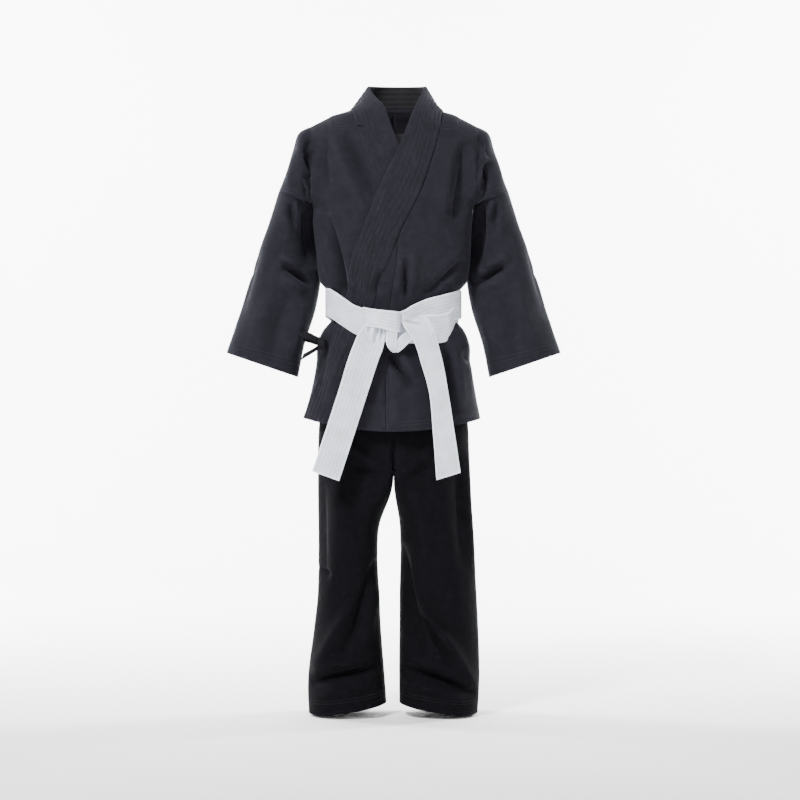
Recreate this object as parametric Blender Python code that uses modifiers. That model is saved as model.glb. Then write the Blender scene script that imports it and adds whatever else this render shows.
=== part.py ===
"""Child's karate uniform: wrap jacket, trousers and tied belt, in metres, +Z up.

The origin is the nape, where the back neck band meets the back of the jacket. The front faces
-Y, and +X is the wearer's left. Cloth panels are open lofts thickened by Solidify.
"""
import math
from collections import namedtuple

import bmesh
import bpy
import numpy as np
from mathutils import Matrix, Vector

Ring = namedtuple("Ring", "z half_width half_depth")
Tube = namedtuple("Tube", "z inner outer half_depth")
Span = namedtuple("Span", "outer inner half_depth")

# Cloth and seams
CLOTH = 0.0018              # wall of one cloth panel
BAND = 0.0024               # wall of the quilted lapel and neck band
SEAM = 0.0008               # space left between two panels sewn edge to edge
LAYER = 0.0037              # how far the outer front lies outside the inner front
ROUNDNESS = 2.3             # exponent of the body's oval sections
LAPEL_COLUMNS = 9           # points across a lapel

# Jacket body, inner face of the inner layer, from the neck down over the shoulders to the hem
JACKET = (
    Ring(0.000, 0.0550, 0.0360),
    Ring(-0.006, 0.0680, 0.0400),
    Ring(-0.011, 0.0900, 0.0430),
    Ring(-0.020, 0.1100, 0.0470),
    Ring(-0.031, 0.1260, 0.0500),
    Ring(-0.045, 0.1330, 0.0530),
    Ring(-0.073, 0.1390, 0.0570),
    Ring(-0.100, 0.1340, 0.0600),
    Ring(-0.120, 0.1210, 0.0610),
    Ring(-0.132, 0.1045, 0.0620),
    Ring(-0.165, 0.1045, 0.0620),
    Ring(-0.215, 0.1035, 0.0590),
    Ring(-0.240, 0.0990, 0.0550),
    Ring(-0.256, 0.0885, 0.0515),
    Ring(-0.262, 0.0880, 0.0510),
    Ring(-0.330, 0.0900, 0.0525),
    Ring(-0.354, 0.1040, 0.0600),
    Ring(-0.400, 0.1140, 0.0640),
    Ring(-0.454, 0.1260, 0.0670),
)
ARMHOLE_X = 0.1150          # where the body panels end at the armhole
HEM_RISE = 0.016            # how much higher the hem is at the sides
HEM_RISE_TOP = -0.354       # height where that rise starts

# Height and place across the body of each front seam and free edge
OUTER_FREE_EDGE = ((-0.030, 0.0195), (-0.052, 0.0112), (-0.113, -0.0175), (-0.177, -0.0427), (-0.213, -0.0567),
                   (-0.256, -0.0609), (-0.311, -0.0790), (-0.381, -0.1060), (-0.454, -0.1280))
OUTER_LAPEL_SEAM = ((-0.011, 0.0660), (-0.030, 0.0630), (-0.077, 0.0511), (-0.127, 0.0329), (-0.169, 0.0112),
                    (-0.213, -0.0063), (-0.245, -0.0209), (-0.277, -0.0280), (-0.311, -0.0400), (-0.381, -0.0640),
                    (-0.454, -0.0880))
OUTER_OVERLAP_SEAM = ((-0.181, 0.0077), (-0.220, 0.0035), (-0.266, -0.0035), (-0.368, -0.0091), (-0.454, -0.0105))
INNER_FREE_EDGE = ((-0.030, -0.0030), (-0.052, 0.0059), (-0.113, 0.0300), (-0.177, 0.0470), (-0.256, 0.0590),
                   (-0.354, 0.0780), (-0.454, 0.0980))
INNER_LAPEL_SEAM = ((-0.011, -0.0560), (-0.031, -0.0490), (-0.049, -0.0427), (-0.095, -0.0245), (-0.177, 0.0040),
                    (-0.256, 0.0170), (-0.354, 0.0340), (-0.454, 0.0520))
INNER_OVERLAP_SEAM = ((-0.177, 0.0010), (-0.256, 0.0030), (-0.354, 0.0060), (-0.454, 0.0090))
OVERLAP_TOP = -0.192        # top of the front overlap panels

# Neck band and the tops of the lapels, which roll from the neck on to the chest
NECK_BOTTOM = Ring(0.0026, 0.0565, 0.0380)
NECK_TOP = Ring(0.0280, 0.0430, 0.0335)
OUTER_LAPEL_TOP = (((0.0440, -0.0012, 0.0270), (0.0595, -0.0012, 0.0026)),
                   ((0.0385, -0.0180, 0.0150), (0.0650, -0.0160, -0.0070)),
                   ((0.0290, -0.0400, -0.0060), (0.0640, -0.0350, -0.0180)))
INNER_LAPEL_TOP = (((-0.0440, -0.0012, 0.0270), (-0.0595, -0.0012, 0.0026)),
                   ((-0.0330, -0.0180, 0.0140), (-0.0620, -0.0160, -0.0070)),
                   ((-0.0137, -0.0380, -0.0030), (-0.0560, -0.0350, -0.0170)))

# Sleeve: outer and inner edge of each section, seen from the front, and half its depth
SHOULDER_CAP = (
    Span((0.1185, -0.0245), (0.1185, -0.1290), 0.0470),
    Span((0.1325, -0.0345), (0.1165, -0.1310), 0.0480),
    Span((0.1415, -0.0620), (0.1150, -0.1325), 0.0455),
    Span((0.1490, -0.0880), (0.1145, -0.1340), 0.0435),
    Span((0.1610, -0.1160), (0.1140, -0.1350), 0.0420),
)
SLEEVE = (
    Span((0.1625, -0.1180), (0.1130, -0.1375), 0.0420),
    Span((0.1770, -0.1640), (0.1120, -0.1800), 0.0400),
    Span((0.1920, -0.2100), (0.1120, -0.2300), 0.0380),
    Span((0.2120, -0.2700), (0.1130, -0.2800), 0.0370),
    Span((0.2270, -0.3160), (0.1260, -0.3300), 0.0370),
    Span((0.2360, -0.3430), (0.1350, -0.3770), 0.0370),
)
SHOULDER_PIVOT = Vector((0.1170, 0.0, -0.0225))

# Trousers, outer face of the inner wall, from the waist to the split, and each leg
TROUSERS = (
    Ring(-0.270, 0.0800, 0.0440),
    Ring(-0.305, 0.0800, 0.0440),
    Ring(-0.345, 0.0840, 0.0470),
    Ring(-0.380, 0.0950, 0.0510),
    Ring(-0.430, 0.1020, 0.0540),
    Ring(-0.530, 0.1060, 0.0560),
)
WAISTBAND_BOTTOM = -0.3040
LEG_LEFT = (
    Tube(-0.533, 0.0115, 0.0985, 0.0450),
    Tube(-0.565, 0.0100, 0.1040, 0.0490),
    Tube(-0.625, 0.0091, 0.1110, 0.0490),
    Tube(-0.730, 0.0077, 0.1180, 0.0480),
    Tube(-0.816, 0.0080, 0.1200, 0.0490),
    Tube(-0.8505, 0.0085, 0.1190, 0.0500),
)
LEG_RIGHT = (
    Tube(-0.533, -0.0120, -0.0985, 0.0450),
    Tube(-0.565, -0.0165, -0.1035, 0.0490),
    Tube(-0.625, -0.0200, -0.1060, 0.0490),
    Tube(-0.730, -0.0175, -0.1115, 0.0480),
    Tube(-0.816, -0.0125, -0.1200, 0.0490),
    Tube(-0.8505, -0.0110, -0.1190, 0.0500),
)
HIP_PIVOT = Vector((0.058, 0.003, -0.556))
LEG_HEM = 0.025             # height of the turned-up hem inside each leg

# Belt: 40 mm wide, wound twice, then tied
BELT_WIDTH = 0.040
BELT_WALL = 0.0022
BELT_INNER_OFFSET = 0.0068
BELT_OUTER_OFFSET = 0.0104
BELT_FRONT_DIP = 0.024      # how far the wraps drop towards the knot
BELT_INNER_HEIGHT = -0.283
BELT_OUTER_HEIGHT = -0.279
TAIL_WALL = 0.0030
TAIL_TOP = -0.3225
TAIL_HANG_Y = -0.0820       # where the straight lower part of each tail hangs
# Each station is the left and right edge, (x, z), seen from the front, and its middle's y
TAIL_LEFT = (
    ((0.0290, TAIL_TOP), (0.0630, TAIL_TOP), -0.0690),
    ((0.0400, -0.3580), (0.0710, -0.3620), -0.0750),
    ((0.0525, -0.3950), (0.0785, -0.4020), -0.0795),
    ((0.0560, -0.4450), (0.0850, -0.4500), TAIL_HANG_Y),
    ((0.0606, -0.5236), (0.0949, -0.5131), TAIL_HANG_Y),
)
TAIL_RIGHT = (
    ((-0.0530, TAIL_TOP), (-0.0120, TAIL_TOP), -0.0690),
    ((-0.0665, -0.3620), (-0.0270, -0.3700), -0.0750),
    ((-0.0800, -0.4020), (-0.0410, -0.4120), -0.0795),
    ((-0.0940, -0.4440), (-0.0560, -0.4560), TAIL_HANG_Y),
    ((-0.1155, -0.5110), (-0.0770, -0.5250), TAIL_HANG_Y),
)

# Ties: flat tape
TAPE_WIDTH = 0.0090
TAPE_WALL = 0.0016
BOW_LOOP = ((-0.1040, -0.0450, -0.3220), (-0.1120, -0.0500, -0.3170), (-0.1220, -0.0520, -0.3190),
            (-0.1290, -0.0525, -0.3260))
BOW_END = ((-0.1070, -0.0560, -0.3300), (-0.1180, -0.0580, -0.3340), (-0.1290, -0.0580, -0.3390),
           (-0.1400, -0.0570, -0.3450))

LABEL_SIZE = (0.030, 0.0008, 0.018)
LABEL_CENTRE = (0.004, 0.0452, -0.036)

# Colours, as linear values
JACKET_CLOTH = ("black_cotton", (0.0235, 0.0245, 0.0330), 0.92)
TROUSER_CLOTH = ("black_cotton_trousers", (0.0120, 0.0122, 0.0155), 0.94)
BELT_CLOTH = ("white_cotton", (0.790, 0.805, 0.860), 0.85)
TAPE_CLOTH = ("black_tape", (0.0150, 0.0155, 0.0200), 0.90)
ELASTIC = ("white_elastic", (0.620, 0.620, 0.600), 0.80)
LABEL_CLOTH = ("plain_label", (0.0450, 0.0440, 0.0470), 0.70)


def clear_scene():
    for old in list(bpy.data.objects):
        bpy.data.objects.remove(old, do_unlink=True)


def make_material(cloth):
    name, colour, roughness = cloth
    material = bpy.data.materials.get(name)
    if material is None:
        material = bpy.data.materials.new(name)
        material.use_nodes = True
        shader = material.node_tree.nodes["Principled BSDF"]
        shader.inputs["Base Color"].default_value = (*colour, 1.0)
        shader.inputs["Roughness"].default_value = roughness
        shader.inputs["Metallic"].default_value = 0.0
    return material


def dress(piece, cloth, pivot=None):
    """Give a piece its own cloth, put it in the collection and hang it on its pivot."""
    piece.data.materials.clear()
    piece.data.materials.append(make_material(cloth))
    if piece.name not in UNIFORM.objects:
        UNIFORM.objects.link(piece)
    if pivot is not None:
        piece.data.transform(Matrix.Translation(-pivot.location))
        piece.parent = pivot
    return piece


def make_pivot(name, location):
    pivot = bpy.data.objects.new(name, None)
    pivot.location = location
    UNIFORM.objects.link(pivot)
    return pivot


def loft(name, cloth, rows, wall, outward=True, closed=False, pivot=None):
    """Join rows of points into an open sheet and thicken it.

    Each row runs counter-clockwise seen from above and the rows go down, so the sheet faces
    outward. A closed loft joins the last point of each row to the first.
    """
    sheet = bmesh.new()
    vertices = [[sheet.verts.new(point) for point in row] for row in rows]
    columns = len(rows[0])
    steps = columns if closed else columns - 1
    for upper, lower in zip(vertices, vertices[1:]):
        for here in range(steps):
            there = (here + 1) % columns
            sheet.faces.new((upper[here], lower[here], lower[there], upper[there]))
    mesh = bpy.data.meshes.new(name)
    sheet.to_mesh(mesh)
    sheet.free()
    mesh.shade_smooth()
    piece = bpy.data.objects.new(name, mesh)
    thicken = piece.modifiers.new("cloth", "SOLIDIFY")
    thicken.thickness = wall
    thicken.offset = 1.0 if outward else -1.0
    thicken.use_even_offset = True
    return dress(piece, cloth, pivot)


def signed_power(value, exponent):
    return math.copysign(abs(value) ** exponent, value)


def ring_size(profile, z, offset):
    """Half width and half depth of a body section at a height, grown by an offset."""
    heights = [ring.z for ring in reversed(profile)]
    width = np.interp(z, heights, [ring.half_width for ring in reversed(profile)])
    depth = np.interp(z, heights, [ring.half_depth for ring in reversed(profile)])
    return width + offset, depth + offset


def ring_point(profile, z, angle, offset=0.0):
    """A point on a body section: angle 0 is the front, and it grows towards +X."""
    width, depth = ring_size(profile, z, offset)
    x = width * signed_power(math.sin(angle), 2 / ROUNDNESS)
    y = -depth * signed_power(math.cos(angle), 2 / ROUNDNESS)
    return x, y, z


def front_angle(profile, z, x, offset=0.0):
    """The angle of the point at x on the front half of a section."""
    width, _ = ring_size(profile, z, offset)
    share = max(-1.0, min(1.0, x / width))
    return math.asin(signed_power(share, ROUNDNESS / 2))


def side_angle(profile, z, offset=0.0):
    """The angle that ends a panel just short of the side seam or shoulder line."""
    _, depth = ring_size(profile, z, offset)
    side = math.acos((SEAM / depth) ** (ROUNDNESS / 2))
    if profile is not JACKET:
        return side
    width, _ = ring_size(profile, z, offset)
    if width <= ARMHOLE_X:
        return side
    return min(side, front_angle(profile, z, ARMHOLE_X, offset))


def edge_at(edge, z):
    heights = [height for height, _ in reversed(edge)]
    return float(np.interp(z, heights, [x for _, x in reversed(edge)]))


def levels(profile, top, bottom):
    """The heights of a profile's sections between two limits, with the limits."""
    between = [ring.z for ring in profile if bottom + 0.004 < ring.z < top - 0.002]
    return [top, *between, bottom]


def with_hem(point):
    """Raise the jacket's hem towards the sides."""
    x, y, z = point
    fall = (HEM_RISE_TOP - z) / (HEM_RISE_TOP - JACKET[-1].z)
    share = max(0.0, fall) * (x / JACKET[-1].half_width) ** 2
    return x, y, z + HEM_RISE * share


def ring_rows(profile, heights, limits, columns, offset):
    """Rows of points between two angles, which limits(z) gives for each height."""
    rows = []
    for z in heights:
        start, end = limits(z)
        angles = np.linspace(start, end, columns)
        row = [ring_point(profile, z, angle, offset) for angle in angles]
        rows.append([with_hem(point) for point in row] if profile is JACKET else row)
    return rows


def front_panel(name, cloth, left_edge, right_edge, top, offset, wall=CLOTH, columns=11):
    """A jacket front between two edges, each a function of height that gives an angle."""
    heights = levels(JACKET, top, JACKET[-1].z)
    rows = ring_rows(JACKET, heights, lambda z: (left_edge(z), right_edge(z)), columns, offset)
    return loft(name, cloth, rows, wall)


def edge_angle(edge, offset, shift=0.0):
    return lambda z: front_angle(JACKET, z, edge_at(edge, z) + shift, offset)


def make_fronts():
    """Two fronts, each a main panel and an overlap panel; the wearer's left lies outside."""
    shoulder = JACKET[2].z - 0.0005
    outer_side = lambda z: side_angle(JACKET, z, LAYER)
    inner_side = lambda z: -side_angle(JACKET, z)

    def outer_edge(z):
        edge = OUTER_LAPEL_SEAM if z > OVERLAP_TOP else OUTER_OVERLAP_SEAM
        return front_angle(JACKET, z, edge_at(edge, z) + SEAM, LAYER)

    def inner_edge(z):
        edge = INNER_LAPEL_SEAM if z > OVERLAP_TOP else INNER_OVERLAP_SEAM
        return front_angle(JACKET, z, edge_at(edge, z) - SEAM)

    front_panel("front_panel_left", JACKET_CLOTH, outer_edge, outer_side, shoulder, LAYER)
    front_panel("front_panel_right", JACKET_CLOTH, inner_side, inner_edge, shoulder, 0.0)
    front_panel("overlap_panel_left", JACKET_CLOTH, edge_angle(OUTER_LAPEL_SEAM, LAYER, SEAM),
                edge_angle(OUTER_OVERLAP_SEAM, LAYER, -SEAM), OVERLAP_TOP - 0.006, LAYER, columns=4)
    front_panel("overlap_panel_right", JACKET_CLOTH, edge_angle(INNER_OVERLAP_SEAM, 0.0, SEAM),
                edge_angle(INNER_LAPEL_SEAM, 0.0, -SEAM), OVERLAP_TOP - 0.006, 0.0, columns=4)


def make_backs():
    """The back's two halves meet at the centre back seam."""
    heights = levels(JACKET, 0.0, JACKET[-1].z)
    centre = 0.004

    def left(z):
        return math.pi - side_angle(JACKET, z), math.pi - centre

    def right(z):
        return math.pi + centre, math.pi + side_angle(JACKET, z)

    loft("back_panel_left", JACKET_CLOTH, ring_rows(JACKET, heights, left, 8, 0.0), CLOTH)
    loft("back_panel_right", JACKET_CLOTH, ring_rows(JACKET, heights, right, 8, 0.0), CLOTH)


def lapel_rows(top_stations, free_edge, seam, offset, mirrored):
    """Rows across the lapel, from the neck to the hem, each from its left to its right edge."""
    rows = []
    for free, sewn in top_stations:
        ends = (Vector(sewn), Vector(free)) if mirrored else (Vector(free), Vector(sewn))
        rows.append([ends[0].lerp(ends[1], share) for share in np.linspace(0.0, 1.0, LAPEL_COLUMNS)])
    for z in levels(JACKET, JACKET[4].z, JACKET[-1].z):
        near = front_angle(JACKET, z, edge_at(free_edge, z), offset)
        far = front_angle(JACKET, z, edge_at(seam, z), offset)
        start, end = (far, near) if mirrored else (near, far)
        row = [ring_point(JACKET, z, angle, offset) for angle in np.linspace(start, end, LAPEL_COLUMNS)]
        rows.append([with_hem(point) for point in row])
    return rows


def make_lapels():
    outer = lapel_rows(OUTER_LAPEL_TOP, OUTER_FREE_EDGE, OUTER_LAPEL_SEAM, LAYER, mirrored=False)
    inner = lapel_rows(INNER_LAPEL_TOP, INNER_FREE_EDGE, INNER_LAPEL_SEAM, 0.0, mirrored=True)
    loft("lapel_left", JACKET_CLOTH, outer, BAND)
    loft("lapel_right", JACKET_CLOTH, inner, CLOTH)


def make_neck_band():
    """The standing band round the back of the neck, from one lapel to the other."""
    rows = []
    for share in (1.0, 0.5, 0.0):
        z = NECK_BOTTOM.z + share * (NECK_TOP.z - NECK_BOTTOM.z)
        level = (Ring(z, NECK_BOTTOM.half_width + share * (NECK_TOP.half_width - NECK_BOTTOM.half_width),
                      NECK_BOTTOM.half_depth + share * (NECK_TOP.half_depth - NECK_BOTTOM.half_depth)),)
        side = side_angle(level, z)
        angles = np.linspace(math.pi - side, math.pi + side, 13)
        rows.append([ring_point(level, z, angle) for angle in angles])
    loft("neck_band", JACKET_CLOTH, rows, BAND)


def make_shoulder_patches():
    """A reinforcing patch under each shoulder line, close to the neck."""
    drop = Vector((0.0, 0.0, -0.0016))
    for name, middle in (("shoulder_patch_left", math.pi / 2), ("shoulder_patch_right", -math.pi / 2)):
        rows = []
        for z in (-0.0085, -0.0110, -0.0150, -0.0190):
            angles = np.linspace(middle - 0.62, middle + 0.62, 7)
            rows.append([Vector(ring_point(JACKET, z, angle)) + drop for angle in angles])
        loft(name, JACKET_CLOTH, rows, 0.0010, outward=False)


def span_ring(span, side, inset=0.0, columns=20):
    """An oval section between a sleeve's outer and inner edge, running counter-clockwise."""
    outer = Vector((side * span.outer[0], 0.0, span.outer[1]))
    inner = Vector((side * span.inner[0], 0.0, span.inner[1]))
    reach = (outer - inner) / 2
    reach -= reach.normalized() * inset
    middle = (outer + inner) / 2
    ring = []
    for step in range(columns):
        angle = side * 2 * math.pi * step / columns
        across = signed_power(math.sin(angle), 2 / ROUNDNESS)
        deep = signed_power(math.cos(angle), 2 / ROUNDNESS)
        ring.append(middle + reach * across + Vector((0.0, -(span.half_depth - inset) * deep, 0.0)))
    return ring


def make_sleeve(name, side):
    """Shoulder cap, sleeve and the hem facing inside the cuff, all turning at the shoulder."""
    place = Vector((side * SHOULDER_PIVOT.x, SHOULDER_PIVOT.y, SHOULDER_PIVOT.z))
    pivot = make_pivot(f"sleeve_{name}_pivot", place)
    cap = [span_ring(span, side) for span in SHOULDER_CAP]
    tube = [span_ring(span, side) for span in SLEEVE]
    hem = [span_ring(span, side, CLOTH + 0.0006) for span in cuff_spans()]
    loft(f"shoulder_cap_{name}", JACKET_CLOTH, cap, CLOTH, outward=False, closed=True, pivot=pivot)
    loft(f"sleeve_{name}", JACKET_CLOTH, tube, CLOTH, outward=False, closed=True, pivot=pivot)
    loft(f"cuff_facing_{name}", JACKET_CLOTH, hem, 0.0012, outward=False, closed=True, pivot=pivot)


def cuff_spans():
    """The sections between which the cuff's facing lies: the last part of the sleeve."""
    above, last = SLEEVE[-2], SLEEVE[-1]
    spans = []
    for share in (0.25, 0.97):
        outer = tuple(np.add(above.outer, share * np.subtract(last.outer, above.outer)))
        inner = tuple(np.add(above.inner, share * np.subtract(last.inner, above.inner)))
        spans.append(Span(outer, inner, last.half_depth))
    return spans


def belt_ring(name, height, lean, offset):
    """One wrap of the belt: it dips at the front, and leans from one side to the other."""
    rows = []
    for across in (0.5, 0.0, -0.5):
        row = []
        for angle in np.linspace(-math.pi, math.pi, 41)[:-1]:
            dip = BELT_FRONT_DIP * max(0.0, math.cos(angle)) ** 2
            z = height - dip + lean * math.sin(angle) + across * BELT_WIDTH
            row.append(ring_point(JACKET, z, angle, offset))
        rows.append(row)
    loft(name, BELT_CLOTH, rows, BELT_WALL, closed=True)


def rounded_block(name, cloth, low, high, bevel):
    """A block between two corners with soft edges."""
    bpy.ops.mesh.primitive_cube_add(size=1.0)
    block = bpy.context.object
    block.name = name
    block.data.name = name
    for collection in list(block.users_collection):
        collection.objects.unlink(block)
    low, high = Vector(low), Vector(high)
    block.data.transform(Matrix.LocRotScale((low + high) / 2, None, high - low))
    if bevel:
        soften = block.modifiers.new("soft_edges", "BEVEL")
        soften.width = bevel
        soften.segments = 3
        block.data.shade_smooth()
    return dress(block, cloth)


def make_belt():
    belt_ring("belt_wrap_inner", BELT_INNER_HEIGHT, -0.005, BELT_INNER_OFFSET)
    belt_ring("belt_wrap_outer", BELT_OUTER_HEIGHT, 0.002, BELT_OUTER_OFFSET)
    rounded_block("knot_band", BELT_CLOTH, (-0.0315, -0.0840, -0.3066), (0.0090, -0.0655, -0.2800), 0.0060)
    rounded_block("knot_loop", BELT_CLOTH, (-0.0085, -0.0790, -0.3400), (0.0130, -0.0665, -0.3074), 0.0040)
    fold = (((0.0140, -0.2900), (0.0440, -0.2870), -0.0695), ((0.0230, -0.3060), (0.0560, -0.3010), -0.0705),
            ((0.0275, -0.3190), (0.0610, -0.3190), -0.0700))
    strap("knot_fold", fold, None)


def strap(name, stations, pivot):
    """A flat length of belt through stations of left and right edge, thickened evenly."""
    rows = []
    for left, right, y in stations:
        start = Vector((left[0], y - TAIL_WALL / 2, left[1]))
        end = Vector((right[0], y - TAIL_WALL / 2, right[1]))
        rows.append([start.lerp(end, step / 2) for step in range(3)])
    return loft(name, BELT_CLOTH, rows, TAIL_WALL, outward=False, pivot=pivot)


def make_tails():
    for name, stations in (("left", TAIL_LEFT), ("right", TAIL_RIGHT)):
        left, right, y = stations[0]
        pivot = make_pivot(f"belt_tail_{name}_pivot", ((left[0] + right[0]) / 2, y, TAIL_TOP))
        strap(f"belt_tail_{name}", stations, pivot)


def tape(name, route):
    """Flat tape on edge along a route, its width upright."""
    rows = []
    for across in (0.5, -0.5):
        rows.append([Vector(point) + Vector((0.0, 0.0, across * TAPE_WIDTH)) for point in reversed(route)])
    return loft(name, TAPE_CLOTH, rows, TAPE_WALL, outward=False)


def make_ties():
    """The bow that shuts the outer front at the wearer's right, and the tape inside the left."""
    tape("tie_bow_loop", BOW_LOOP)
    tape("tie_bow_end", BOW_END)
    rows = []
    for z in (-0.372, -0.395, -0.418, -0.436):
        angles = np.linspace(1.38, 1.47, 3)
        rows.append([ring_point(JACKET, z, angle, -0.0012) for angle in angles])
    loft("inner_tie", TAPE_CLOTH, rows, TAPE_WALL, outward=False)


def make_label():
    middle, size = Vector(LABEL_CENTRE), Vector(LABEL_SIZE)
    rounded_block("neck_label", LABEL_CLOTH, middle - size / 2, middle + size / 2, 0.0)


def make_seat(pivot):
    """Waistband with its elastic, the seat's four panels and the crotch gusset."""
    full = np.linspace(-math.pi, math.pi, 41)[:-1]
    band = [[ring_point(TROUSERS, z, angle) for angle in full] for z in (TROUSERS[0].z, WAISTBAND_BOTTOM)]
    inside = (TROUSERS[0].z - 0.005, WAISTBAND_BOTTOM + 0.005)
    elastic = [[ring_point(TROUSERS, z, angle, -0.0006) for angle in full] for z in inside]
    loft("waistband", TROUSER_CLOTH, band, CLOTH, closed=True, pivot=pivot)
    loft("waist_elastic", ELASTIC, elastic, 0.0014, outward=False, closed=True, pivot=pivot)

    split = ((-0.305, 0.0006), (-0.508, 0.0006), (-0.530, 0.0090))
    heights = levels(TROUSERS, WAISTBAND_BOTTOM - 0.0008, TROUSERS[-1].z)
    heights.insert(-1, -0.508)

    def inner_edge(z):
        return front_angle(TROUSERS, z, edge_at(split, z))

    def front_left(z):
        return inner_edge(z), side_angle(TROUSERS, z)

    def front_right(z):
        return -side_angle(TROUSERS, z), -inner_edge(z)

    def back_left(z):
        return math.pi - side_angle(TROUSERS, z), math.pi - inner_edge(z)

    def back_right(z):
        return math.pi + inner_edge(z), math.pi + side_angle(TROUSERS, z)

    for name, limits in (("seat_front_left", front_left), ("seat_front_right", front_right),
                         ("seat_back_left", back_left), ("seat_back_right", back_right)):
        loft(name, TROUSER_CLOTH, ring_rows(TROUSERS, heights, limits, 7, 0.0), CLOTH, pivot=pivot)

    rows = []
    for y in (0.052, 0.026, 0.0, -0.026, -0.052):
        droop = 0.004 * (1 - (y / 0.052) ** 2)
        rows.append([(x, y, -0.511 - droop) for x in (-0.008, 0.0, 0.008)])
    loft("crotch_gusset", TROUSER_CLOTH, rows, CLOTH, pivot=pivot)


def leg_ring(section, start, end, columns, inset=0.0):
    """Part of one leg's oval section, counter-clockwise from one angle to another."""
    middle = (section.inner + section.outer) / 2
    half_width = abs(section.outer - section.inner) / 2 - inset
    level = (Ring(section.z, half_width, section.half_depth - inset),)
    points = []
    for angle in np.linspace(start, end, columns):
        x, y, z = ring_point(level, section.z, angle)
        points.append((x + middle, y, z))
    return points


def make_leg(name, sections, side, seat):
    """A leg's front and back panel and the hem turned up inside it."""
    place = Vector((side * HIP_PIVOT.x, HIP_PIVOT.y, HIP_PIVOT.z))
    pivot = make_pivot(f"leg_{name}_pivot", place)
    pivot.parent = seat
    pivot.location = place - seat.location
    edge = math.pi / 2 - 0.015
    cloth = TROUSER_CLOTH
    front = [leg_ring(section, -edge, edge, 10) for section in sections]
    back = [leg_ring(section, math.pi - edge, math.pi + edge, 10) for section in sections]
    top = sections[-1].z + LEG_HEM
    above = Tube(top, float(np.interp(top, [sections[-1].z, sections[-2].z], [sections[-1].inner, sections[-2].inner])),
                 float(np.interp(top, [sections[-1].z, sections[-2].z], [sections[-1].outer, sections[-2].outer])),
                 sections[-2].half_depth)
    last = sections[-1]._replace(z=sections[-1].z + 0.001)
    inset = CLOTH + 0.0008
    hem = [leg_ring(section, -math.pi, math.pi, 25, inset)[:-1] for section in (above, last)]
    move = Matrix.Translation(-place)
    for piece in (loft(f"leg_front_{name}", cloth, front, CLOTH, outward=False),
                  loft(f"leg_back_{name}", cloth, back, CLOTH, outward=False),
                  loft(f"leg_hem_{name}", cloth, hem, 0.0012, outward=False, closed=True)):
        piece.data.transform(move)
        piece.parent = pivot


def build():
    make_backs()
    make_fronts()
    make_lapels()
    make_neck_band()
    make_shoulder_patches()
    make_label()
    make_sleeve("left", 1)
    make_sleeve("right", -1)
    make_ties()
    make_belt()
    make_tails()
    seat = make_pivot("trousers_pivot", (0.0, 0.0, TROUSERS[0].z))
    make_seat(seat)
    make_leg("left", LEG_LEFT, 1, seat)
    make_leg("right", LEG_RIGHT, -1, seat)


clear_scene()
UNIFORM = bpy.data.collections.new("martial_arts_uniform")
bpy.context.scene.collection.children.link(UNIFORM)
build()
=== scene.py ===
import math
from collections import namedtuple
from contextlib import contextmanager

import bmesh
import bpy
import numpy as np
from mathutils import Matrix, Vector
from mathutils.bvhtree import BVHTree


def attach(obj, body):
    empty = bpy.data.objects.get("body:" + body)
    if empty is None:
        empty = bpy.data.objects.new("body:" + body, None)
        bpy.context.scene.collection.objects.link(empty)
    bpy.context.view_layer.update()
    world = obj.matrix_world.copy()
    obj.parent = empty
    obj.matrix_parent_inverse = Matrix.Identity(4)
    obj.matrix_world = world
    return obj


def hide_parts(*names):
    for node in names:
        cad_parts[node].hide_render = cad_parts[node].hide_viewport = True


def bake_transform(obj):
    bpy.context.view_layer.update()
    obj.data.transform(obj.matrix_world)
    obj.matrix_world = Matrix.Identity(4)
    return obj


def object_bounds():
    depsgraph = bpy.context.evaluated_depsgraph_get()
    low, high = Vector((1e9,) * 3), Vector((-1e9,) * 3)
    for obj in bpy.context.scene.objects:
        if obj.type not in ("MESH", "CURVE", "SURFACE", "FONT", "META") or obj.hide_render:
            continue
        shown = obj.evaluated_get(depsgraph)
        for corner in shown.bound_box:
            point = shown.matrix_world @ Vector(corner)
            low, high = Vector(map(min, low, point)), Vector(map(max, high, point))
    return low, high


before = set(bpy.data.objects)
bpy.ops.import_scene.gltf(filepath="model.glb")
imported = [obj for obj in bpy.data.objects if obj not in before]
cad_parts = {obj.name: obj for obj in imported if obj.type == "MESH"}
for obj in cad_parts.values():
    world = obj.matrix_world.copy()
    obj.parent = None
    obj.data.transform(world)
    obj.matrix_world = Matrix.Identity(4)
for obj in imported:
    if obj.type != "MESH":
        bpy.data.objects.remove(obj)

CAD_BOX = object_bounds()

# ---------------------------------------------------------------- driving dimensions, metres

GRID = 0.003               # spacing of the cloth meshes
CLOTH = 0.0011              # single cloth
BAND = 0.0026               # quilted lapel and neck band
LAYER = 0.0037              # how far the outer front lies outside the inner front
ROUNDNESS = 2.3             # exponent of the body's oval sections
ARMHOLE_X = 0.115          # where the shoulders pass into the sleeve tubes

Section = namedtuple("Section", "z half_width half_depth")
Span = namedtuple("Span", "outer inner half_depth back", defaults=(0.0,))
Fold = namedtuple("Fold", "path width height")
SIDE_NAMES = {1: "left", -1: "right"}   # the wearer's; the left is at +x

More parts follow.
